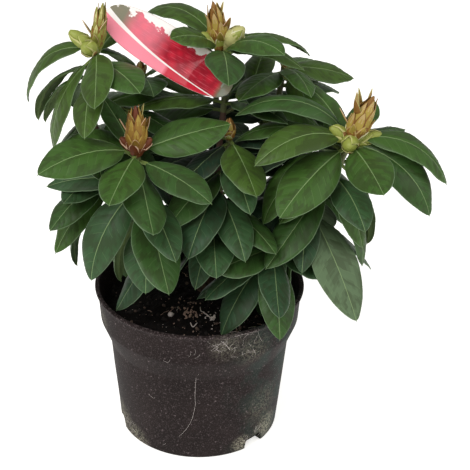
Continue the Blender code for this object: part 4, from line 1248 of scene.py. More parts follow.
def wrapped_scale(bud, start, reach, angle, width, flare, thick):
    """A pointed scale that lies round a bud and lifts off at its tip, ribbed lengthwise."""
    way, side, up = bud.axes
    a = np.linspace(0, 1, SCALE_ROWS)[:, None]
    b = np.linspace(1, -1, SCALE_COLS)[None, :]
    height = start + reach * a
    bulk = np.maximum(bud_radius(height, bud.shape) * bud.radius, 0.16 * bud.radius)
    taper = (1 - a ** 2.6) ** 0.9 * (0.78 + 1.1 * a * (1 - a))
    out = bulk * 1.03 + thick + flare * a ** 2.4 - 0.10 * width * b ** 2 * a
    out = out + SCALE_RIB * np.cos(10.5 * b)
    turn = angle + width * taper * b / np.maximum(bulk, 0.55 * bud.radius)
    ring = side * np.cos(turn)[..., None] + up * np.sin(turn)[..., None]
    outer = bud.top + way * (bud.length * height * np.ones_like(b))[..., None] + ring * out[..., None]
    inner = outer - ring * (thick * (1 - 0.5 * a) * np.ones_like(b))[..., None]
    return closed_sheet(outer, inner)


def bud_core(bud):
    """The body of a bud, a little slimmer than its scales."""
    way, side, up = bud.axes
    height = np.linspace(-0.08, 0.98, BUD_RINGS)[:, None]
    reach = (bud_radius(height, bud.shape) * bud.radius * BUD_CORE_SHARE)[..., None]
    return closed_rings(bud.top + (way * bud.length * height)[:, None]
                        + round_ring(side, up, BUD_SIDES) * reach)


# Slots of the bud piece
(CORE, BROWN, TAN, GOLD, GOLD_TIP, GREEN, GREEN_TIP, PALE, PINK, CREAM, AMBER, AMBER_TIP,
 OLIVE) = range(13)


def scale_slots(base, tip, edge, foot=None):
    """Slots of a scale: its base colour, a foot and a tip of their own, and a thin pale edge."""
    rows, cols = SCALE_ROWS - 1, SCALE_COLS - 1
    top = np.full((rows, cols), base)
    top[:3] = base if foot is None else foot
    top[rows - 3:, 1:-1] = tip
    top[rows - 5:rows - 3, [2, 4]] = tip
    if edge is not None:
        top[3:, [0, -1]] = edge
    rims = np.full(2 * rows, base if edge is None else edge)
    return np.concatenate([top.ravel(), np.full(rows * cols, base), rims, np.full(2 * cols, base)])


# A flower bud longer than BIG_BUD has the larger count of scales
BIG_BUD = 35 * MM
FEW_SCALES = 12
MANY_SCALES = 22
LOW_LEVEL = 0.2
MIDDLE_LEVEL = 0.45
PINK_SCALES = 4

# Looks of the flower buds: core, then base, tip, edge and foot of the lowest, middle and top scales
GOLDEN = (TAN, (GREEN, PALE, CREAM, TAN), (TAN, GOLD, GOLD_TIP, TAN), (GOLD, GOLD_TIP, TAN, TAN))
BROWN_FOOTED = (CORE, (BROWN, BROWN, PINK, CORE), (TAN, AMBER, AMBER_TIP, BROWN),
                (AMBER, AMBER_TIP, TAN, TAN))
YOUNG = (OLIVE, (GREEN, GREEN_TIP, None, GREEN), (OLIVE, GREEN, TAN, GREEN), (OLIVE, PALE, TAN, TAN))


def flower_bud(heap, bud, draw, look):
    """A flower bud: a core under overlapping scales that get slimmer towards the top."""
    core, low, middle, high = look
    heap.add(*bud_core(bud), core)
    count = MANY_SCALES if bud.length > BIG_BUD else FEW_SCALES
    first = draw.uniform(0, 6.28)
    for i in range(count):
        level = i / (count - 1)
        reach = 0.30 + 0.24 * level + draw.uniform(-0.03, 0.06)
        width = bud.radius * (0.74 - 0.34 * level) * draw.uniform(0.9, 1.1)
        flare = bud.radius * (0.08 + 0.24 * level) * draw.uniform(0.4, 1.4)
        scale = wrapped_scale(bud, SCALE_START + 0.50 * level ** 1.15, reach,
                              first + i * math.radians(GOLDEN_ANGLE), width, flare, SCALE_THICKNESS)
        slots = low if level < LOW_LEVEL else middle if level < MIDDLE_LEVEL else high
        heap.add(*scale, scale_slots(*slots))


# Looks of the leaf buds: how many scales, then body, tip of every second scale, edge
FAT_GREEN = (5, GREEN, GREEN_TIP, PALE)
FAT_BROWN = (5, BROWN, CORE, PINK)
BLEACHED = (8, PALE, GREEN, CREAM)
FLOWER_LOOKS = {"shoot_upper_left": YOUNG, "shoot_left_front": BROWN_FOOTED}
LEAF_BUD_LOOKS = {("shoot_left_front", 1): FAT_BROWN, ("shoot_left_front", 2): FAT_BROWN,
                  ("shoot_upper_middle", 2): BLEACHED}


def side_bud(heap, bud, draw, look):
    """A leaf bud: fat and smooth, under a few tight scales."""
    count, body, tip, edge = look
    heap.add(*bud_core(bud), body)
    first = draw.uniform(0, 6.28)
    for i in range(count):
        level = i / (count - 1)
        scale = wrapped_scale(bud, SCALE_START + 0.36 * level, 0.56 + 0.10 * level,
                              first + i * math.radians(GOLDEN_ANGLE),
                              bud.radius * (1.15 - 0.3 * level), 0.05 * bud.radius,
                              LEAF_BUD_SCALE_THICKNESS)
        heap.add(*scale, scale_slots(body, tip if i % 2 else body, edge))


def loose_scale(leaf, draw):
    """A scale that stands out from its bud: a small pointed scoop."""
    share, *tables = fine_spine(leaf, 0, draw.uniform(-20, 20))
    a = np.linspace(0, 1, SCALE_ROWS)[:, None]
    b = np.linspace(-1, 1, SCALE_COLS)[None, :]
    at = np.repeat(a, SCALE_COLS, 1)
    half = 0.5 * leaf.width * np.maximum(np.sin(np.pi * (0.16 + 0.84 * a) ** 1.15), 0.03) ** 0.8
    lift = -leaf.cup * half * b ** 2
    place, across, upward = (sampled(share, table, at) for table in tables)
    top = place + across * (half * b)[..., None] + upward * lift[..., None]
    return closed_sheet(top, top - upward * SCALE_THICKNESS)


def bud_finishes(look):
    """Bud scales: dry, papery and slightly waxed, so they are nearly matt, each one plain in colour."""
    rows = (
        ("bud_core_resinous", look.scale_brown, 0.5), ("bud_scale_brown", look.scale_brown, 0.6),
        ("bud_scale_tan", look.scale_tan, 0.6), ("bud_scale_gold", look.scale_gold, 0.6),
        ("bud_scale_gold_tip", between(look.scale_gold, look.scale_edge, 0.3), 0.6),
        ("bud_scale_green", look.scale_green, 0.5), ("bud_scale_green_tip", look.scale_red, 0.55),
        ("bud_scale_pale", look.scale_pale, 0.55), ("bud_scale_pink_edge", look.scale_edge, 0.6),
        ("bud_scale_cream", look.scale_cream, 0.55), ("bud_scale_amber", look.scale_amber, 0.6),
        # The amber tips are lightened towards gold: partly the scales' own colour and partly a painted
        # highlight
        ("bud_scale_amber_tip", between(look.scale_amber, look.scale_gold, 0.7), 0.6),
        ("bud_scale_olive", look.scale_olive, 0.6),
    )
    return [new_finish(name, colour, rough, ior=1.45)[0] for name, colour, rough in rows]


# Steps round the stems and the limbs, the distance between a stem's rings, and the bark's noise
STEM_SIDES, TWIG_SIDES, TRUNK_SIDES, BOUGH_SIDES = 14, 12, 24, 18
STEM_SPACING = 1.2 * MM
BARK_SEED = 90
BARK_RIDGES = 12

# A bough swells by this share where it leaves its parent, and the swelling fades over its points
FORK_SWELL = 0.3
FORK_FADE = 0.8


def stem_relief(run, angle):
    """Fine lengthwise ribs and a few leaf scars on a green stem."""
    ribs = 0.00008 * np.sin(9 * angle + 40 * run)
    scars = 0.00035 * np.maximum(np.sin(2 * np.pi * run / 0.0085 + 2.4 * np.sin(angle)), 0) ** 6
    return ribs + scars


def bark_relief(seed):
    """Corky young bark: long low ridges, shallow cracks and small knots."""
    def relief(run, angle):
        around = angle / (2 * np.pi) * BARK_RIDGES + 0.6 * np.sin(run / 0.006)
        ridges = lumps(run / 0.009 + 0 * angle, around % BARK_RIDGES, seed, BARK_RIDGES)
        fine = lumps(run / 0.0025 + 0 * angle, 2 * around % (2 * BARK_RIDGES), seed + 1,
                     2 * BARK_RIDGES)
        return 0.0006 * ridges + 0.0003 * fine - 0.0004 * np.maximum(ridges - 0.3, 0)
    return relief


# Pot and peat

# Turned bodies: the hole left at their middle, the moulded corners and the longest step of a wall
HUB = 1 * MM
MOULD_ROUNDING = 1.1 * MM
WALL_STEP = 6 * MM
SHARP_ANGLE = 42

# The wall strays from a true circle in waves up it and lobes round it, from a radius on
WALL_SEED = 11
WALL_WAVE = 30 * MM
WALL_LOBES = 9
WOBBLE_FROM = 30 * MM

# Drain notches: rounding of the wedge that cuts them, and how ragged each cut is
NOTCH_SEED = 400
NOTCH_ROUNDING = 3 * MM
NOTCH_RAGGED = (0.2 * MM, 0.5 * MM, 0.2 * MM)


def rounded(profile, radius, steps=4):
    """A profile with each corner turned into a small arc."""
    points = [np.array(p, float) for p in profile]
    made = [points[0]]
    for a, b, c in zip(points, points[1:], points[2:]):
        before, after = a - b, c - b
        cut = min(radius, 0.45 * np.linalg.norm(before), 0.45 * np.linalg.norm(after))
        p, q = b + unit(before) * cut, b + unit(after) * cut
        for t in np.linspace(0, 1, steps):
            made.append(p * (1 - t) ** 2 + b * 2 * t * (1 - t) + q * t ** 2)
    return made + [points[-1]]


def filled(profile, longest):
    """A profile with extra points, so that no step is longer than asked."""
    made = [profile[0]]
    for a, b in zip(profile, profile[1:]):
        count = max(1, math.ceil(np.linalg.norm(b - a) / longest))
        made += [a + (b - a) * (i + 1) / count for i in range(count)]
    return np.array(made)


def turned(profile, sides, wobble=0.0):
    """Rings of a turned profile, with a slow wobble of the wall."""
    angle = circle(sides)[None, :]
    r, z = profile[:, :1], profile[:, 1:]
    wave = lumps(z / WALL_WAVE + 0 * angle, angle / (2 * np.pi) * WALL_LOBES, WALL_SEED, WALL_LOBES)
    r = r + wobble * wave * (r > WOBBLE_FROM)
    return np.stack([r * np.cos(angle), r * np.sin(angle), z + 0 * angle], -1)


def notch_shape(bearing, ragged):
    """A rounded wedge that bites a drain notch out of the pot's bottom corner."""
    w, top = 0.5 * NOTCH_WIDTH, NOTCH_TAPER * 0.5 * NOTCH_WIDTH
    edge = filled(rounded([(-w, -NOTCH_ROUNDING), (-w * 0.98, 0), (-top, NOTCH_HEIGHT),
                           (top, NOTCH_HEIGHT), (w * 0.98, 0), (w, -NOTCH_ROUNDING)],
                          NOTCH_ROUNDING), 2 * MM)
    draw = random.Random(int(bearing) + NOTCH_SEED)
    edge = [(x + draw.uniform(-1, 1) * ragged, z + draw.uniform(-1, 1) * ragged) for x, z in edge]
    out, across = heading(bearing, 0), heading(bearing + 90, 0)
    shape = bmesh.new()
    rings = [[shape.verts.new(out * reach + across * x + Vector((0, 0, z))) for x, z in edge]
             for reach in (FOOT_RADIUS - NOTCH_DEPTH, FOOT_RADIUS + NOTCH_DEPTH)]
    for a, b in zip(range(len(edge)), [*range(1, len(edge)), 0]):
        shape.faces.new((rings[0][a], rings[0][b], rings[1][b], rings[1][a]))
    shape.faces.new(rings[0][::-1])
    shape.faces.new(rings[1])
    bmesh.ops.recalc_face_normals(shape, faces=shape.faces)
    mesh = bpy.data.meshes.new("notch")
    shape.to_mesh(mesh)
    shape.free()
    return link_object("notch", mesh)


def cut_drain_notches(piece):
    """Cut the drain notches into the piece's mesh, which stays one closed body."""
    for bearing, ragged in zip(NOTCH_BEARINGS, NOTCH_RAGGED):
        cutter = notch_shape(bearing, ragged)
        cut = piece.modifiers.new("notch", "BOOLEAN")
        cut.operation = "DIFFERENCE"
        cut.solver = "EXACT"
        cut.object = cutter
        bpy.context.view_layer.update()
        depsgraph = bpy.context.evaluated_depsgraph_get()
        mesh = bpy.data.meshes.new_from_object(piece.evaluated_get(depsgraph))
        piece.modifiers.clear()
        piece.data = mesh
        bpy.data.objects.remove(cutter, do_unlink=True)


def on_wall(bearing, height, lift):
    """A point on the pot's outside, or this far off it."""
    rows = sorted((z, r) for r, z in pot_profile()[1][:-1])
    radius = float(np.interp(height, [z for z, _ in rows], [r for _, r in rows]))
    way = heading(bearing, 0) * (radius + lift)
    return Vector((way.x, way.y, height))


# Rootlets and hairs stuck to the pot: thickness, then bearings with heights in millimetres
WALL_HAIRS = (
    (0.16, (1.5, 102), (-0.2, 95), (-0.9, 76), (-0.9, 62), (-4.3, 42), (-11.5, 26), (-24.2, 10.5)),
    (0.28, (13.2, 139.2), (16.1, 134.3), (18.5, 128.2)),
    (0.18, (8.4, 136), (11.7, 133), (9.5, 129)),
    (0.15, (14, 127), (10.5, 131), (12.5, 136), (16, 138)),
    (0.14, (25.7, 120.1), (29, 121.5), (32, 119.1)),
    (0.14, (33.5, 121), (36.5, 118), (38.9, 116)),
    (0.14, (34.9, 141.2), (36, 135), (38.2, 128.4)),
    (0.12, (-14.6, 117.4), (-16, 114), (-18.6, 115.5)),
    (0.12, (-33, 66), (-30, 63.5), (-28, 64.4)),
    (0.14, (20, 143.5), (27, 144), (33, 143.8)),
)
TANGLE_SEED = 8
HAIR_SPACING = 1.5 * MM

# Tangles of short rootlets: bearing and height of the middle, how many, and their spread in millimetres
WALL_TANGLES = ((13, 134, 13, 5), (17, 128, 4, 3), (33, 121, 9, 6), (27, 141, 7, 7), (-2, 127, 3, 8),
                (-56, 12, 12, 6), (38, 9, 9, 4), (52, 18, 12, 6))


def tangle(bearing, height, count, spread, draw):
    """Short rootlets that lie over each other on the wall, each bending a little."""
    for _ in range(count):
        b = bearing + draw.gauss(0, 0.6 * spread)
        z = max(height + draw.gauss(0, 0.5 * spread), 3)
        turn, step = draw.uniform(0, 2 * math.pi), draw.uniform(1.2, 2.6)
        places = []
        for _ in range(4):
            places.append((b, min(z, 141)))
            turn += draw.uniform(-0.7, 0.7)
            b, z = b + 0.65 * step * math.cos(turn), max(z + step * math.sin(turn), 1.5)
        yield (draw.uniform(0.08, 0.17), *places)


# Crumbs of the peat's surface, in three sizes: width, height, start and seed of the noise
PEAT_LUMPS = ((11 * MM, 1.6 * MM, 20, 5), (4.6 * MM, 1.1 * MM, 30, 6), (2.1 * MM, 0.6 * MM, 40, 7))
PEAT_LIFT = 0.8 * MM
PEAT_RINGS = 74
PEAT_SIDES = 200
PEAT_WALL_STEP = 12 * MM


def peat_height(x, y):
    """Height of the peat's surface with its crumbs."""
    profile = peat_profile()[:4]
    base = np.interp(np.hypot(x, y), [p[0] for p in profile], [p[1] for p in profile])
    rough = sum(high * lumps(x / wide + start, y / wide + start, seed)
                for wide, high, start, seed in PEAT_LUMPS)
    trunk = np.hypot(x - TRUNK_FOOT.x, y - TRUNK_FOOT.y)
    return base + rough * smooth((trunk - 0.010) / 0.008 + 0.3) + PEAT_LIFT


def ground(x, y):
    """Height of the peat's surface at one place."""
    return float(peat_height(np.array(x), np.array(y)))


def beside_trunk(x, y, clear):
    """Whether a place lies closer to the trunk's middle than asked."""
    return math.hypot(x - TRUNK_FOOT.x, y - TRUNK_FOOT.y) < clear


def anywhere(reach, draw):
    """A random place within a reach of the pot's middle."""
    r, turn = reach * math.sqrt(draw.random()), draw.uniform(0, 2 * math.pi)
    return r * math.cos(turn), r * math.sin(turn)


def crumb_template():
    """A cube cut three ways a side and blown up round, as plain arrays."""
    shape = bmesh.new()
    bmesh.ops.create_cube(shape, size=2.0)
    bmesh.ops.subdivide_edges(shape, edges=shape.edges, cuts=2, use_grid_fill=True)
    shape.verts.ensure_lookup_table()
    verts = unit(np.array([v.co for v in shape.verts]))
    faces = np.array([[v.index for v in face.verts] for face in shape.faces])
    shape.free()
    return verts, faces


# Slots of the loose bits on the peat, and their draws
CRUMB_DARK, CRUMB_DRY, FIBRE, GRAIN = range(4)
STREW_SEED = 17
DARK_CHANCE = 0.8
PEAT_REACH = 0.97
CRUMB_SIZE = (0.8 * MM, 2.6 * MM)
CRUMB_CLEAR = 16 * MM
FIBRE_REACH = 0.94
FIBRE_POINTS = 5
FIBRE_STEP = (1.6 * MM, 4 * MM)
FIBRE_LIFT = (0.3 * MM, 1.2 * MM)
FIBRE_RADIUS = (0.15 * MM, 0.45 * MM)
FIBRE_SPACING = 1.2 * MM
FIBRE_CLEAR = 14 * MM

# Pale bits: middle, spread, count and largest half size in millimetres, then the slot.
# The first is the one perlite grain, round and with no spread
CHIP_HEAPS = (
    (-24.9, -27.5, 0, 1, 2.7, GRAIN), (-8, -25, 4.5, 30, 1.9, FIBRE), (-10, -8, 5, 18, 1.5, FIBRE),
    (14, -27, 5, 16, 1.7, GRAIN), (24, -44, 7, 12, 1.2, GRAIN), (-6, -46, 9, 14, 1.0, FIBRE),
    (0, -20, 34, 90, 0.6, FIBRE), (0, -10, 40, 70, 0.45, GRAIN),
)

# Pale rootlets on the peat: half thickness, then places in millimetres
PEAT_ROOTLETS = (
    (0.55, (4, -21), (8, -27), (13, -34)), (0.4, (-7, -39), (-4.5, -44), (-1, -40)),
    (0.4, (21, -37), (22.5, -41), (24, -46)), (0.25, (27, -47), (36, -45), (45, -39), (52, -37)),
    (0.3, (-20, -10), (-19, -16), (-20, -21)), (0.35, (1, -14), (2, -19), (5, -20)),
)


def crumb(template, centre, sizes, draw):
    """An irregular lump: three unlike half axes, a turn and dents."""
    verts, faces = template
    seed = draw.randrange(NOISE_SEEDS)
    dents = 1 + 0.22 * lumps(verts[:, 0] * 1.6 + 8, verts[:, 1] * 1.6 + verts[:, 2] * 1.3 + 8, seed)
    turn = Quaternion([draw.gauss(0, 1) for _ in range(4)]).normalized().to_matrix()
    return (verts * dents[:, None] * np.array(sizes)) @ np.array(turn).T + np.array(centre), faces


def strew_crumbs(bits, count, edge, template, draw):
    """Loose crumbs in two browns all over the peat."""
    for _ in range(count):
        x, y = anywhere(edge * PEAT_REACH, draw)
        if beside_trunk(x, y, CRUMB_CLEAR):
            continue
        grain = draw.uniform(*CRUMB_SIZE)
        sizes = (grain, grain * draw.uniform(0.5, 0.9), grain * draw.uniform(0.4, 0.7))
        body = crumb(template, (x, y, ground(x, y) + 0.25 * grain), sizes, draw)
        bits.add(*body, CRUMB_DARK if draw.random() < DARK_CHANCE else CRUMB_DRY)


def strew_fibres(bits, count, edge, draw):
    """Loose fibres that wander over the crumbs."""
    for _ in range(count):
        place = Vector((*anywhere(edge * FIBRE_REACH, draw), 0))
        way = draw.uniform(0, 2 * math.pi)
        step = draw.uniform(*FIBRE_STEP)
        points = []
        for k in range(FIBRE_POINTS):
            if k:
                way += draw.uniform(-0.5, 0.5)
                place = place + Vector((math.cos(way), math.sin(way), 0)) * step
            place = place * min(1.0, PEAT_REACH * edge / max(place.xy.length, 1e-6))
            lift = draw.uniform(*FIBRE_LIFT)
            points.append(Vector((place.x, place.y, ground(place.x, place.y) + lift)))
        if any(beside_trunk(point.x, point.y, FIBRE_CLEAR) for point in points):
            continue
        bits.add(*strand(points, draw.uniform(*FIBRE_RADIUS), FIBRE_SPACING), FIBRE)


def strew_chips(bits, edge, template, draw):
    """The perlite grain and the heaps of flat pale chips."""
    for x, y, spread, count, most, slot in CHIP_HEAPS:
        for _ in range(count):
            cx, cy = draw.gauss(x, spread) * MM, draw.gauss(y, spread) * MM
            if math.hypot(cx, cy) > PEAT_REACH * edge or beside_trunk(cx, cy, FIBRE_CLEAR):
                continue
            grain = most * MM * (draw.uniform(0.4, 1) if spread else 1)
            flat = (0.7, 0.5) if spread else (1, 0.9)
            body = crumb(template, (cx, cy, ground(cx, cy) + 0.4 * grain),
                         (grain, flat[0] * grain, flat[1] * grain), draw)
            bits.add(*body, slot)


# Settings

class ShrubFoliageSettings(bpy.types.PropertyGroup):
    """Sizes and colours of the leaves and stems."""

    leaf_thickness: size("Leaf thickness", 0.00055, "Thickness of the blade beside the midrib")
    midrib_depth: size("Midrib depth", 0.0009, "How far the midrib lies below the blade")
    midrib_width: size("Midrib width", 0.0011, "Width of the pale midrib at the foot of the blade")
    margin_width: size("Margin width", 0.00036, "Width of the pale line round the blade")
    vein_relief: size("Vein relief", 0.00026, "How far the blade rises between its side veins")
    sheen_roughness: strength("Sheen roughness", 0.46, "Roughness of the waxed upper side")
    sheen: strength("Sheen", 0.26, "Strength of the wax's shine; 0.5 is a clean smooth surface")
    look_seed: IntProperty(name="Look seed", default=5, min=0,
                           description="Deals out waves, twists and mottling")
    tint_seed: IntProperty(name="Tint seed", default=3723, min=0,
                           description="Deals out the leaves' tints")
    # From upper to shaded the tints grade by height: partly the leaves' own greens, partly painted light
    # on the top leaves and painted shade on the low ones
    upper: tint("Upper leaves", "#3f5820", "Yellowish green of the highest leaves")
    lit: tint("Lit leaves", "#3b5923", "Fresh green of the leaves near the top")
    middle: tint("Middle leaves", "#355225", "Green of the leaves in the middle")
    lower: tint("Lower leaves", "#334f2e", "Bluish green of the lower leaves")
    shaded: tint("Shaded leaves", "#2c462c", "Dark green of the lowest leaves")
    # A greyer, duller green for a few low leaves
    dusty: tint("Dusty leaves", "#596d4e", "Greyish green of the few dusty leaves")
    blotch: tint("Blotches", "#2b2c18", "Brownish blotches that mottle every blade")
    # Painted shade: the near-black green of the inner leaves stands in for the shade deep in the crown
    deep: tint("Inner leaves", "#1c2f20", "Dark green of the leaves deep in the crown")
    young: tint("Young leaves", "#7c8a3a", "Yellow-green of small new leaves")
    underside: tint("Underside", "#5f7248", "Pale felted underside")
    midrib: tint("Midrib", "#94ab76", "Pale midrib")
    # Partly the blade's own pale edge and partly a painted edge highlight
    margin: tint("Margin", "#7b9070", "Pale line round the blade")
    stalk: tint("Stalk", "#6d7e42", "Leaf stalk and the ridge under the blade")
    stem_green: tint("Stem", "#565c30", "New stems")
    stem_brown: tint("Old stem", "#4c3325", "Older stems and twigs")


class ShrubBudSettings(bpy.types.PropertyGroup):
    """Colours of the bud scales."""

    scale_brown: tint("Brown scales", "#632d0f", "Lowest scales")
    scale_tan: tint("Tan scales", "#825a22", "Scales half way up")
    scale_gold: tint("Golden scales", "#a18a3a", "Upper scales")
    scale_amber: tint("Amber scales", "#8b6720", "Upper scales of the low middle bud")
    scale_olive: tint("Olive scales", "#87823a", "Scales of the narrow young bud")
    scale_green: tint("Green scales", "#8c9440", "Leaf buds")
    scale_red: tint("Red tips", "#7d5a2c", "Tips of the leaf buds' scales")
    scale_pale: tint("Pale edges", "#b5b272", "Edges of the leaf buds' scales")
    scale_edge: tint("Pink edges", "#cfae92", "Dry edges of the lowest scales")
    scale_cream: tint("Cream scales", "#d0cda6", "The few bleached scales")


class ShrubBarkSettings(bpy.types.PropertyGroup):
    """Colours of trunk and boughs."""

    # The bark's browns are partly the cork's own and partly darkened as painted shade of the crown
    ridge: tint("Ridges", "#57422f", "Raised parts of the bark")
    crack: tint("Cracks", "#241a13", "Low parts of the bark")
    ring_spacing: size("Ring spacing", 0.0011, "Distance between the mesh rings of a limb")


class ShrubPotSettings(bpy.types.PropertyGroup):
    """Sizes and colours of the nursery pot."""

    plastic: tint("Plastic", "#1a1312", "Charcoal plastic")
    faded: tint("Faded plastic", "#271e1d", "Plastic that light has greyed")
    dust: tint("Dust", "#7d7071", "Dried splashes and specks of peat dust")
    scuff: tint("Scuffs", "#9b9784", "Worn edges at the foot")
    # A dark green tint on the pot's +X side
    side_green: tint("Algae", "#1d2d27", "Green film on one side")
    hair: tint("Root hair", "#cfc6c0", "Rootlets stuck to the wall")
    shine: strength("Shine", 0.10, "Strength of the plastic's reflections; 0.5 is a clean surface")
    sides: IntProperty(name="Sides", default=192, min=24, description="Steps round the pot")
    wobble: size("Wall wobble", 0.00025, "How far the thin wall strays from a true round")


class ShrubPeatSettings(bpy.types.PropertyGroup):
    """Amounts and colours of the potting peat."""

    # The peat's darks are partly its own colour when moist and partly painted shade of the crown over it
    dark: tint("Wet peat", "#050303", "Deep parts of the peat")
    crumbly: tint("Dry crumbs", "#170f0b", "Raised crumbs")
    fibre: tint("Fibres", "#a88c7c", "Bark fibres and dry roots")
    perlite: tint("Perlite", "#e0d2ca", "The round white grain")
    crumbs: IntProperty(name="Crumbs", default=340, min=0, description="Loose crumbs on the peat")
    fibres: IntProperty(name="Fibres", default=26, min=0, description="Loose fibres on the peat")


class ShrubCardSettings(bpy.types.PropertyGroup):
    """Sizes and colours of the care card."""

    thickness: size("Thickness", 0.0005, "Thickness of the card")
    bow: size("Bow", 0.0012, "How far the card bows")
    red: tint("Red", "#d01a36", "Deep red of the print")
    # Pink draws the print's streaks and also the painted reflection of glare on the left of the card
    pink: tint("Pink", "#f58a9b", "Light pink of the print")
    crimson: tint("Crimson", "#9a0f28", "Shadows between the printed petals")
    green: tint("Green", "#5f7a5c", "Printed leaves at the ends")
    white: tint("White", "#f6efe9", "Paper white of the line and the edge")
    strap: tint("Strap", "#8b9484", "Strap behind the card")


class ShrubStageSettings(bpy.types.PropertyGroup):
    """Camera, floor and light."""

    camera_place: FloatVectorProperty(name="Camera place", description="Where the camera stands",
                                      default=(0.0314, -1.137, 0.824), subtype="TRANSLATION")
    camera_pitch: FloatProperty(name="Camera pitch", description="How far the camera looks down",
                                default=math.radians(29.0), subtype="ANGLE")
    camera_roll: FloatProperty(name="Camera roll", description="How far the camera leans",
                               default=math.radians(1.1), subtype="ANGLE")
    camera_lens: FloatProperty(name="Lens", description="Focal length in millimetres",
                               default=111.294)
    floor: tint("Floor", "#f4f3f0", "Plain pale floor")
    sky_strength: FloatProperty(name="Sky", description="Strength of the even light", default=0.4)
    key_power: FloatProperty(name="Key light", description="Power of the main soft light",
                             default=20.0, unit="POWER")


# Pieces

class SHRUB_OT_leaves(bpy.types.Operator):
    """Grow the leaves of every shoot, joined into one piece for each shoot"""

    bl_idname = "shrub.leaves"
    bl_label = "Leaves"

    def execute(self, context):
        look = context.scene.shrub_foliage
        finishes = leaf_finishes(look)
        draw, tints = random.Random(look.look_seed), random.Random(look.tint_seed)
        for name, plan in grown()[1].items():
            heap = Heap()
            for leaf in plan["leaves"]:
                index = leaf_tint(leaf, tints)
                # Leaves of the lower tints take the underside with painted shade
                under = SHADED_UNDERSIDE if index >= FIRST_SHADED_TINT else UNDERSIDE
                body = leaf_body(leaf, look, draw)
                heap.add(*body, leaf_slots(index, under, draw.randrange(NOISE_SEEDS)))
            piece = heap.piece(name.replace("shoot", "leaves"), finishes)
            settle(piece, "rhododendron_foliage", name)
        return {"FINISHED"}


class SHRUB_OT_stems(bpy.types.Operator):
    """Grow the green stems and the side twigs of every shoot"""

    bl_idname = "shrub.stems"
    bl_label = "Stems and twigs"

    def execute(self, context):
        look = context.scene.shrub_foliage
        # New shoots: green bark without cork, so a soft sheen; older wood is browner and duller
        finishes = [new_finish("stem_green_bark", look.stem_green, 0.55)[0],
                    new_finish("stem_brown_bark", look.stem_brown, 0.65)[0]]
        heap = Heap()
        for plan in grown()[1].values():
            stem = plan["stem"]
            verts, faces = tube_body(stem, STEM_SIDES, STEM_SPACING, stem_relief)
            low = verts[faces].mean(1)[:, 2] < 0.5 * (stem.points[0].z + stem.points[-1].z)
            heap.add(verts, faces, low.astype(int))
            for twig in plan["twigs"]:
                heap.add(*tube_body(twig, TWIG_SIDES, STEM_SPACING, stem_relief))
        settle(heap.piece("stems_and_twigs", finishes), "rhododendron_foliage")
        return {"FINISHED"}


class SHRUB_OT_buds(bpy.types.Operator):
    """Grow the flower buds, the leaf buds and the scales that stand out from them"""

    bl_idname = "shrub.buds"
    bl_label = "Buds"

    def execute(self, context):
        heap = Heap()
        draw = random.Random(BUD_SEED)
        for shoot in SHOOTS:
            plan = grown()[1][shoot.name]
            top = np.array(plan["stem"].points[-1])
            look = FLOWER_LOOKS.get(shoot.name, GOLDEN)
            for index, (bearing, pitch, length, radius) in enumerate(shoot.buds):
                bud = Bud(top, axes(heading(bearing, pitch)), length * MM, radius * MM,
                          SIDE_BUD_SHAPE if index else BUD_SHAPE)
                if index:
                    side_bud(heap, bud, draw, LEAF_BUD_LOOKS.get((shoot.name, index), FAT_GREEN))
                else:
                    flower_bud(heap, bud, draw, look)
            for index, scale in enumerate(plan["scales"]):
                base, tip = look[2 if index % 2 else 3][:2]
                edge = PINK if index < PINK_SCALES else PALE
                heap.add(*loose_scale(scale, draw), scale_slots(base, tip, edge))
        piece = heap.piece("buds_and_scales", bud_finishes(context.scene.shrub_buds))
        settle(piece, "rhododendron_foliage")
        return {"FINISHED"}


class SHRUB_OT_limbs(bpy.types.Operator):
    """Grow the trunk and the boughs with the relief of their bark"""

    bl_idname = "shrub.limbs"
    bl_label = "Trunk and boughs"

    def execute(self, context):
        look = context.scene.shrub_bark
        heap = Heap()
        limbs = grown()[0]
        for index, (name, tube) in enumerate(limbs.items()):
            sides = TRUNK_SIDES
            if name != "trunk":
                sides = BOUGH_SIDES
                tube = Tube(tube.points, [radius * (1 + FORK_SWELL * math.exp(-i / FORK_FADE))
                                          for i, radius in enumerate(tube.radii)])
            relief = bark_relief(BARK_SEED + 3 * index)
            heap.add(*tube_body(tube, sides, look.ring_spacing, relief))
        settle(heap.piece("bark_trunk_and_boughs", [bark_finish(look)]), "young_bark", *limbs)
        return {"FINISHED"}


def bark_finish(look):
    """Young bark: thin brown cork over green, cracked lengthwise every 2 to 3 mm and dead matt. Its
    browns are partly the cork's own and partly darkened as painted shade of the crown over it.
    """
    finish, tree, shader = new_finish("bark_corky_brown", look.ridge, 0.85)
    place = add_node(tree, "TexCoord", out="Object")
    stretch = add_node(tree, "Mapping", {"Vector": place, "Scale": (1, 1, 0.28)})
    streaks = add_node(tree, "TexNoise", {"Vector": stretch, "Scale": 420, "Detail": 5,
                                          "Roughness": 0.65}, out="Fac")
    colour = stain(tree, (*look.crack, 1), look.ridge, streaks, 0.36, 0.6)
    bump = add_node(tree, "Bump", {"Height": streaks, "Strength": 0.5, "Distance": 0.0008})
    tree.links.new(colour, shader.inputs["Base Color"])
    tree.links.new(bump, shader.inputs["Normal"])
    return finish


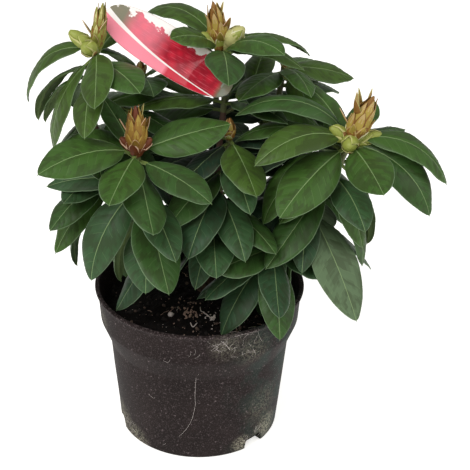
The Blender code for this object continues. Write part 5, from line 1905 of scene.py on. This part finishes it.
class SHRUB_OT_pot(bpy.types.Operator):
    """Make the nursery pot with its rolled lip and drain notches, and the rootlets on its wall"""

    bl_idname = "shrub.pot"
    bl_label = "Nursery pot"

    def execute(self, context):
        look = context.scene.shrub_pot
        inner, outer = pot_profile()
        profile = [(HUB, POT_FLOOR)] + inner[1:] + outer[:-1] + [(HUB, 0)]
        profile = filled(rounded(profile, MOULD_ROUNDING), WALL_STEP)
        heap = Heap()
        heap.add(*closed_rings(turned(profile, look.sides, look.wobble)))
        pot = heap.piece("pot_moulded", [pot_finish(look)])
        cut_drain_notches(pot)
        pot.data.shade_smooth()
        pot.data.set_sharp_from_angle(angle=math.radians(SHARP_ANGLE))
        settle(pot, "nursery_pot_plastic", "pot")
        hairs = Heap()
        draw = random.Random(TANGLE_SEED)
        tangled = [hair for spot in WALL_TANGLES for hair in tangle(*spot, draw)]
        for thickness, *places in (*WALL_HAIRS, *tangled):
            radius = 0.5 * thickness * MM
            points = [on_wall(bearing, height * MM, radius) for bearing, height in places]
            hairs.add(*strand(points, radius, HAIR_SPACING))
        # Dried rootlets: pale, dull and thinner than a pixel, so they are 0.1 to 0.3 mm as real ones
        hair = new_finish("rootlet_dried", look.hair, 0.7)[0]
        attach(hairs.piece("wall_rootlets", [hair]), "root")
        return {"FINISHED"}


# Worn and dusty spots on the pot: bearing, height and reach in millimetres, and strength
WORN_SPOTS = ((-68, 12, 24, 0.8), (-50, 2, 20, 0.9), (33, 9, 12, 1), (57, 15, 20, 0.9),
              (17, 133, 20, 0.35), (33, 122, 22, 0.3), (-70, 124, 14, 0.35), (50, 45, 26, 0.3))


def pot_finish(look):
    """Polypropylene, moulded thin and matt: nearly black, greyed by peat dust, specks and scuffs."""
    finish, tree, shader = new_finish("polypropylene_moulded_matt", look.plastic, 0.6, ior=1.49)
    shader.inputs["Specular IOR Level"].default_value = look.shine
    place = add_node(tree, "TexCoord", out="Object")
    height = add_node(tree, "SeparateXYZ", {"Vector": place}, out="Z")
    # A dark green tint fades in towards the +X side
    green_side = add_node(tree, "MapRange", {"Value": height.node.outputs["X"], "From Min": 0.02,
                                             "From Max": 0.06})
    lip = add_node(tree, "MapRange", {"Value": height, "From Min": 0.138, "From Max": 0.144})
    worn = 0.0
    for bearing, up, reach, most in WORN_SPOTS:
        apart = add_node(tree, "VectorMath", {0: place, 1: on_wall(bearing, up * MM, 0)}, out="Value",
                         operation="DISTANCE")
        near = add_node(tree, "MapRange", {"Value": apart, "From Min": reach * MM,
                                           "From Max": 0.25 * reach * MM, "To Max": most})
        worn = add_node(tree, "Math", {0: worn, 1: near}, operation="MAXIMUM")
    # Cells per metre: fading comes in clouds of 35 mm and the green tint of the +X side in clouds of 22
    # mm. Dust specks are 0.3 mm, too fine to show, so they are drawn as 1.2 to 2.3 mm, and scuffs as 1.9
    # mm
    colour = (*look.plastic, 1)
    for cells, detail, low, high, most, tone, where in (
        (28, 3, 0.40, 0.70, 0.6, look.faded, None), (45, 3, 0.42, 0.60, 0.75, look.side_green, green_side),
        (850, 4, 0.54, 0.74, 0.36, look.dust, None), (430, 3, 0.62, 0.70, 0.60, look.dust, None),
        (520, 5, 0.44, 0.60, 0.85, look.scuff, worn), (700, 3, 0.55, 0.66, 0.7, look.dust, lip),
    ):
        noise = add_node(tree, "TexNoise", {"Vector": place, "Scale": cells, "Detail": detail,
                                            "Roughness": 0.65}, out="Fac")
        colour = stain(tree, colour, tone, noise, low, high, most, where)
    # The moulded surface has a fine grain, drawn as 1.1 mm
    grain = add_node(tree, "TexNoise", {"Vector": place, "Scale": 900, "Detail": 3}, out="Fac")
    rough = add_node(tree, "MapRange", {"Value": grain, "To Min": 0.5, "To Max": 0.75})
    bump = add_node(tree, "Bump", {"Height": grain, "Strength": 0.3, "Distance": 0.0004})
    tree.links.new(colour, shader.inputs["Base Color"])
    tree.links.new(rough, shader.inputs["Roughness"])
    tree.links.new(bump, shader.inputs["Normal"])
    return finish


class SHRUB_OT_peat(bpy.types.Operator):
    """Fill the pot with crumbly peat and strew crumbs, fibres and a perlite grain on it"""

    bl_idname = "shrub.peat"
    bl_label = "Peat"

    def execute(self, context):
        look = context.scene.shrub_peat
        rows = peat_profile()
        edge = rows[3][0]
        radii = np.linspace(HUB, edge, PEAT_RINGS)[:, None]
        angle = circle(PEAT_SIDES)[None, :]
        x, y = radii * np.cos(angle), radii * np.sin(angle)
        top = np.stack([x, y, peat_height(x, y)], -1)
        wall = [np.array(point) for point in rows[4:-1] + [(HUB, rows[-1][1])]]
        wall = turned(filled(wall, PEAT_WALL_STEP), PEAT_SIDES)
        heap = Heap()
        heap.add(*closed_rings(np.concatenate([top, wall])[::-1]))
        body = heap.piece("peat_filling", [peat_finish(look)])
        cut_drain_notches(body)
        settle(body, "peat", "peat")
        bits = Heap()
        draw = random.Random(STREW_SEED)
        template = crumb_template()
        strew_crumbs(bits, look.crumbs, edge, template, draw)
        strew_fibres(bits, look.fibres, edge, draw)
        for thick, *places in PEAT_ROOTLETS:
            points = [Vector((x * MM, y * MM, ground(x * MM, y * MM) + 1.6 * thick * MM))
                      for x, y in places]
            bits.add(*strand(points, thick * MM, FIBRE_SPACING), GRAIN)
        strew_chips(bits, edge, template, draw)
        # Loose peat: dull crumbs in two browns; bark fibres pale and stringy; perlite chalk-like
        finishes = [new_finish("peat_crumb_dark", look.crumbly, 0.95)[0],
                    new_finish("peat_crumb_dry", between(look.crumbly, look.fibre, 0.25), 0.95)[0],
                    new_finish("bark_fibre_dry", look.fibre, 0.85)[0],
                    new_finish("perlite_expanded", look.perlite, 0.9)[0]]
        settle(bits.piece("peat_crumbs_and_fibres", finishes), "peat")
        return {"FINISHED"}


def peat_finish(look):
    """Peat, moist and crumbly: nearly black in its hollows, brown on its crumbs, with no gloss. Its
    near-black is partly the moist peat's own colour and partly painted shade of the crown over it.
    """
    finish, tree, shader = new_finish("peat_moist_crumbly", look.dark, 0.95)
    shader.inputs["Specular IOR Level"].default_value = 0.2
    place = add_node(tree, "TexCoord", out="Object")
    # Grains of 2 mm
    grain = add_node(tree, "TexNoise", {"Vector": place, "Scale": 480, "Detail": 6,
                                        "Roughness": 0.7}, out="Fac")
    colour = stain(tree, (*look.dark, 1), look.crumbly, grain, 0.42, 0.68)
    bump = add_node(tree, "Bump", {"Height": grain, "Strength": 0.8, "Distance": 0.0012})
    tree.links.new(colour, shader.inputs["Base Color"])
    tree.links.new(bump, shader.inputs["Normal"])
    return finish


# The card's grid, and the strap's rings, its edge beads and its film
CARD_ROWS = 72
CARD_COLS = 25
STRAP_SPACING = 1.5 * MM
STRAP_ACROSS = (-1, -0.9, 0, 0.9, 1)
STRAP_FILM = 0.6 * MM


def card_sheet(look):
    """The card as a thin bowed body, and the place of each point of its grid on the print."""
    lengthwise, normal = np.array(CARD_ALONG), np.array(card_normal())
    across = np.cross(normal, lengthwise)
    x = -0.5 * CARD_LENGTH * np.cos(np.linspace(0, np.pi, CARD_ROWS))[:, None]
    b = np.linspace(1, -1, CARD_COLS)[None, :]
    share = np.minimum(np.abs(2 * x / CARD_LENGTH), 0.9999)
    y = 0.5 * CARD_WIDTH * (1 - share ** CARD_SQUARENESS) ** (1 / CARD_SQUARENESS) * b
    lift = look.bow * (0.5 - (2 * x / CARD_LENGTH) ** 2) + 0 * b
    centre = np.array(CARD_CENTRE) + lengthwise * x[..., None] + across * y[..., None]
    top = centre + normal * (lift + 0.5 * look.thickness)[..., None]
    on_print = np.stack([x / CARD_LENGTH + 0.5 + 0 * b, y / CARD_WIDTH + 0.5, 0 * y], -1)
    return closed_sheet(top, top - normal * look.thickness), on_print.reshape(-1, 3)


def strap_body(stem):
    """The strap as a thin flat film along its path."""
    points, widths = strap_path(stem)
    path, _ = smooth_path(points, [0] * len(points), STRAP_SPACING)
    known, at = range(len(widths)), np.linspace(0, len(widths) - 1, len(path))
    side = unit(sampled(known, np.array(widths), at))
    out = np.cross(unit(np.gradient(path[:, :3], axis=0)), side)[:, None]
    spread = np.array(STRAP_ACROSS)[:, None] * 0.5 * STRAP_WIDTH
    top = path[:, None, :3] + side[:, None] * spread + out * 0.5 * STRAP_FILM
    return closed_sheet(top, top - out * STRAP_FILM)


class SHRUB_OT_card(bpy.types.Operator):
    """Make the printed care card and its strap"""

    bl_idname = "shrub.card"
    bl_label = "Care card"

    def execute(self, context):
        look = context.scene.shrub_card
        (verts, faces), on_print = card_sheet(look)
        printed = (CARD_ROWS - 1) * (CARD_COLS - 1)
        heap = Heap()
        heap.add(verts, faces, (np.arange(len(faces)) >= printed).astype(int))
        heap.add(*strap_body(grown()[1][CARD_SHOOT]["stem"]), 2)
        # Strap: thin matt film, so it has hardly any shine
        piece = heap.piece("care_card_printed", [
            card_finish(look), new_finish("paperboard_white_back", look.white, 0.6)[0],
            new_finish("polyethylene_film_strap", look.strap, 0.5)[0]])
        place = np.zeros((heap.count, 3))
        place[:len(verts)] = np.tile(on_print, (2, 1))
        layer = piece.data.attributes.new("print_place", "FLOAT_VECTOR", "POINT")
        layer.data.foreach_set("vector", place.ravel())
        settle(piece, "printed_card", "care_card")
        return {"FINISHED"}


def card_finish(look):
    """Paperboard, printed and film-laminated: flat bright colours under a sharp clear gloss.

    The print is a generic bed of petals over a plain band, parted by a white line. The pink towards the
    left end and the pale left half of the band are painted reflection of glare on the gloss."""
    finish, tree, shader = new_finish("paperboard_printed_laminated", look.red, 0.35, coat=0.8,
                                      coat_roughness=0.08)
    place = add_node(tree, "Attribute", attribute_name="print_place", out="Vector")
    u = add_node(tree, "SeparateXYZ", {"Vector": place}, out="X")
    v = u.node.outputs["Y"]
    # Petals of 7 mm, and streaks of 1 by 12 mm where they blur, on a card of 125 by 43 mm
    bed = add_node(tree, "Mapping", {"Vector": place, "Scale": (17, 5.8, 1)})
    drawn = add_node(tree, "Mapping", {"Vector": place, "Scale": (10, 40, 1),
                                       "Rotation": (0, 0, 0.12)})
    petals = add_node(tree, "TexVoronoi", {"Vector": bed, "Scale": 1.0, "Randomness": 0.9})
    streaks = add_node(tree, "TexNoise", {"Vector": drawn, "Scale": 1.0, "Detail": 3}, out="Fac")
    light = add_node(tree, "TexNoise", {"Vector": bed, "Scale": 0.9, "Detail": 3}, out="Fac")
    # The line bows across the card; the petals' bed ends at a ragged rim, with bare paper beyond
    left = add_node(tree, "Math", {0: 1.0, 1: u}, operation="SUBTRACT")
    bow = add_node(tree, "Math", {0: left, 1: 2.6}, operation="POWER")
    line = add_node(tree, "Math", {0: bow, 1: 0.42, 2: 0.16}, operation="MULTIPLY_ADD")
    above = add_node(tree, "Math", {0: v, 1: line}, operation="SUBTRACT")
    ragged = add_node(tree, "Math", {0: light, 1: 0.55, 2: 0.52}, operation="MULTIPLY_ADD")
    beyond = add_node(tree, "Math", {0: v, 1: ragged}, operation="SUBTRACT")
    # The band below the line is painted pale in its left half, a painted reflection of glare on the
    # gloss; the line thins out towards the right
    below = add_node(tree, "MapRange", {"Value": above, "From Min": 0.004, "From Max": -0.004})
    pale = add_node(tree, "MapRange", {"Value": u, "From Min": 0.56, "From Max": 0.53})
    painted_glare_band = add_node(tree, "Math", {0: pale, 1: below}, operation="MULTIPLY")
    near = add_node(tree, "Math", {0: above}, operation="ABSOLUTE")
    edge = add_node(tree, "Math", {0: bow, 1: -0.05, 2: near}, operation="MULTIPLY_ADD")
    colour = (*look.red, 1)
    for amount, low, high, most, tone in (
        (petals, 0.2, 0.75, 0.85, look.crimson), (streaks, 0.54, 0.70, 0.35, look.pink),
        # Painted reflection: pink towards the left end stands in for glare on the gloss
        (u, 0.50, 0.36, 0.55, look.pink), (u, 0.22, 0.12, 0.85, look.green),
        (u, 0.90, 0.94, 0.85, look.green), (beyond, 0.0, 0.02, 1.0, look.white),
        (above, 0.004, -0.004, 1.0, look.red), (painted_glare_band, 0.0, 1.0, 1.0, look.pink),
        (edge, 0.014, 0.007, 1.0, look.white),
    ):
        colour = stain(tree, colour, tone, amount, low, high, most)
    tree.links.new(colour, shader.inputs["Base Color"])
    return finish


# Soft lights: name, place, size and share of the main light's power
SOFTBOXES = (("key_softbox", (-0.7, -0.9, 1.5), 1.1, 1.0), ("fill_softbox", (1.1, -0.5, 1.1), 1.0, 0.35))
LIGHT_AIM = Vector((0, 0, 0.2))
FLOOR_REACH = 4.0
FLOOR_GLOW = 0.75
SENSOR_WIDTH = 36


def soft_room(scene, look):
    """Even light from all sides, and the soft lights."""
    world = bpy.data.worlds.new("soft_room")
    world.use_nodes = True
    sky = world.node_tree.nodes["Background"]
    sky.inputs["Color"].default_value = (1, 1, 1, 1)
    sky.inputs["Strength"].default_value = look.sky_strength
    scene.world = world
    for name, place, wide, power in SOFTBOXES:
        light = bpy.data.lights.new(name, "AREA")
        light.size = wide
        light.energy = power * look.key_power
        lamp = link_object(name, light)
        lamp.location = place
        lamp.rotation_euler = (LIGHT_AIM - Vector(place)).to_track_quat("-Z", "Y").to_euler()


def set_camera(scene, look):
    """The camera, which looks down at the plant and leans a little."""
    lens = bpy.data.cameras.new("camera")
    lens.sensor_width = SENSOR_WIDTH
    lens.lens = look.camera_lens
    camera = link_object("camera", lens)
    tilt, lean = look.camera_pitch, look.camera_roll
    fore = Vector((0, math.cos(tilt), -math.sin(tilt)))
    rise = Vector((0, math.sin(tilt), math.cos(tilt)))
    right = Vector((1, 0, 0))
    side = right * math.cos(lean) + rise * math.sin(lean)
    upward = rise * math.cos(lean) - right * math.sin(lean)
    turn = Matrix((side, upward, -fore)).transposed().to_4x4()
    camera.matrix_world = Matrix.Translation(look.camera_place) @ turn
    scene.camera = camera


class SHRUB_OT_stage(bpy.types.Operator):
    """Set the floor, the soft studio light and the camera"""

    bl_idname = "shrub.stage"
    bl_label = "Stage"

    def execute(self, context):
        look = context.scene.shrub_stage
        scene = context.scene
        scene.view_settings.view_transform = "Standard"
        mesh = bpy.data.meshes.new("floor")
        corners = ((-1, -1), (1, -1), (1, 1), (-1, 1))
        mesh.from_pydata([(x * FLOOR_REACH, y * FLOOR_REACH, 0) for x, y in corners], [],
                         [(0, 1, 2, 3)])
        floor = link_object("floor", mesh)
        finish, _, shader = new_finish("floor_painted_matt", look.floor, 0.7)
        shader.inputs["Emission Color"].default_value = (*look.floor, 1)
        shader.inputs["Emission Strength"].default_value = FLOOR_GLOW
        mesh.materials.append(finish)
        soft_room(scene, look)
        set_camera(scene, look)
        return {"FINISHED"}


SETTINGS = (
    ("shrub_foliage", ShrubFoliageSettings),
    ("shrub_buds", ShrubBudSettings),
    ("shrub_bark", ShrubBarkSettings),
    ("shrub_pot", ShrubPotSettings),
    ("shrub_peat", ShrubPeatSettings),
    ("shrub_card", ShrubCardSettings),
    ("shrub_stage", ShrubStageSettings),
)
STEPS = (
    (SHRUB_OT_leaves, "shrub_foliage"),
    (SHRUB_OT_stems, None),
    (SHRUB_OT_buds, "shrub_buds"),
    (SHRUB_OT_limbs, "shrub_bark"),
    (SHRUB_OT_pot, "shrub_pot"),
    (SHRUB_OT_peat, "shrub_peat"),
    (SHRUB_OT_card, "shrub_card"),
    (SHRUB_OT_stage, "shrub_stage"),
)


class SHRUB_PT_panel(bpy.types.Panel):
    """Each step of the shrub with its settings"""

    bl_idname = "SHRUB_PT_panel"
    bl_label = "Potted Rhododendron"
    bl_space_type = "VIEW_3D"
    bl_region_type = "UI"
    bl_category = "Shrub"

    def draw(self, context):
        for step, group in STEPS:
            box = self.layout.box()
            box.operator(step.bl_idname)
            if group:
                settings = getattr(context.scene, group)
                for name in settings.__annotations__:
                    box.prop(settings, name)


def register():
    for name, group in SETTINGS:
        bpy.utils.register_class(group)
        setattr(bpy.types.Scene, name, PointerProperty(type=group))
    for step, _ in STEPS:
        bpy.utils.register_class(step)
    bpy.utils.register_class(SHRUB_PT_panel)


def unregister():
    bpy.utils.unregister_class(SHRUB_PT_panel)
    for step, _ in reversed(STEPS):
        bpy.utils.unregister_class(step)
    for name, group in reversed(SETTINGS):
        delattr(bpy.types.Scene, name)
        bpy.utils.unregister_class(group)


def main():
    register()
    bpy.ops.shrub.stage()
    bpy.ops.shrub.leaves()
    bpy.ops.shrub.stems()
    bpy.ops.shrub.buds()
    bpy.ops.shrub.limbs()
    bpy.ops.shrub.pot()
    bpy.ops.shrub.peat()
    bpy.ops.shrub.card()
    bpy.context.view_layer.update()


if __name__ == "__main__":
    main()
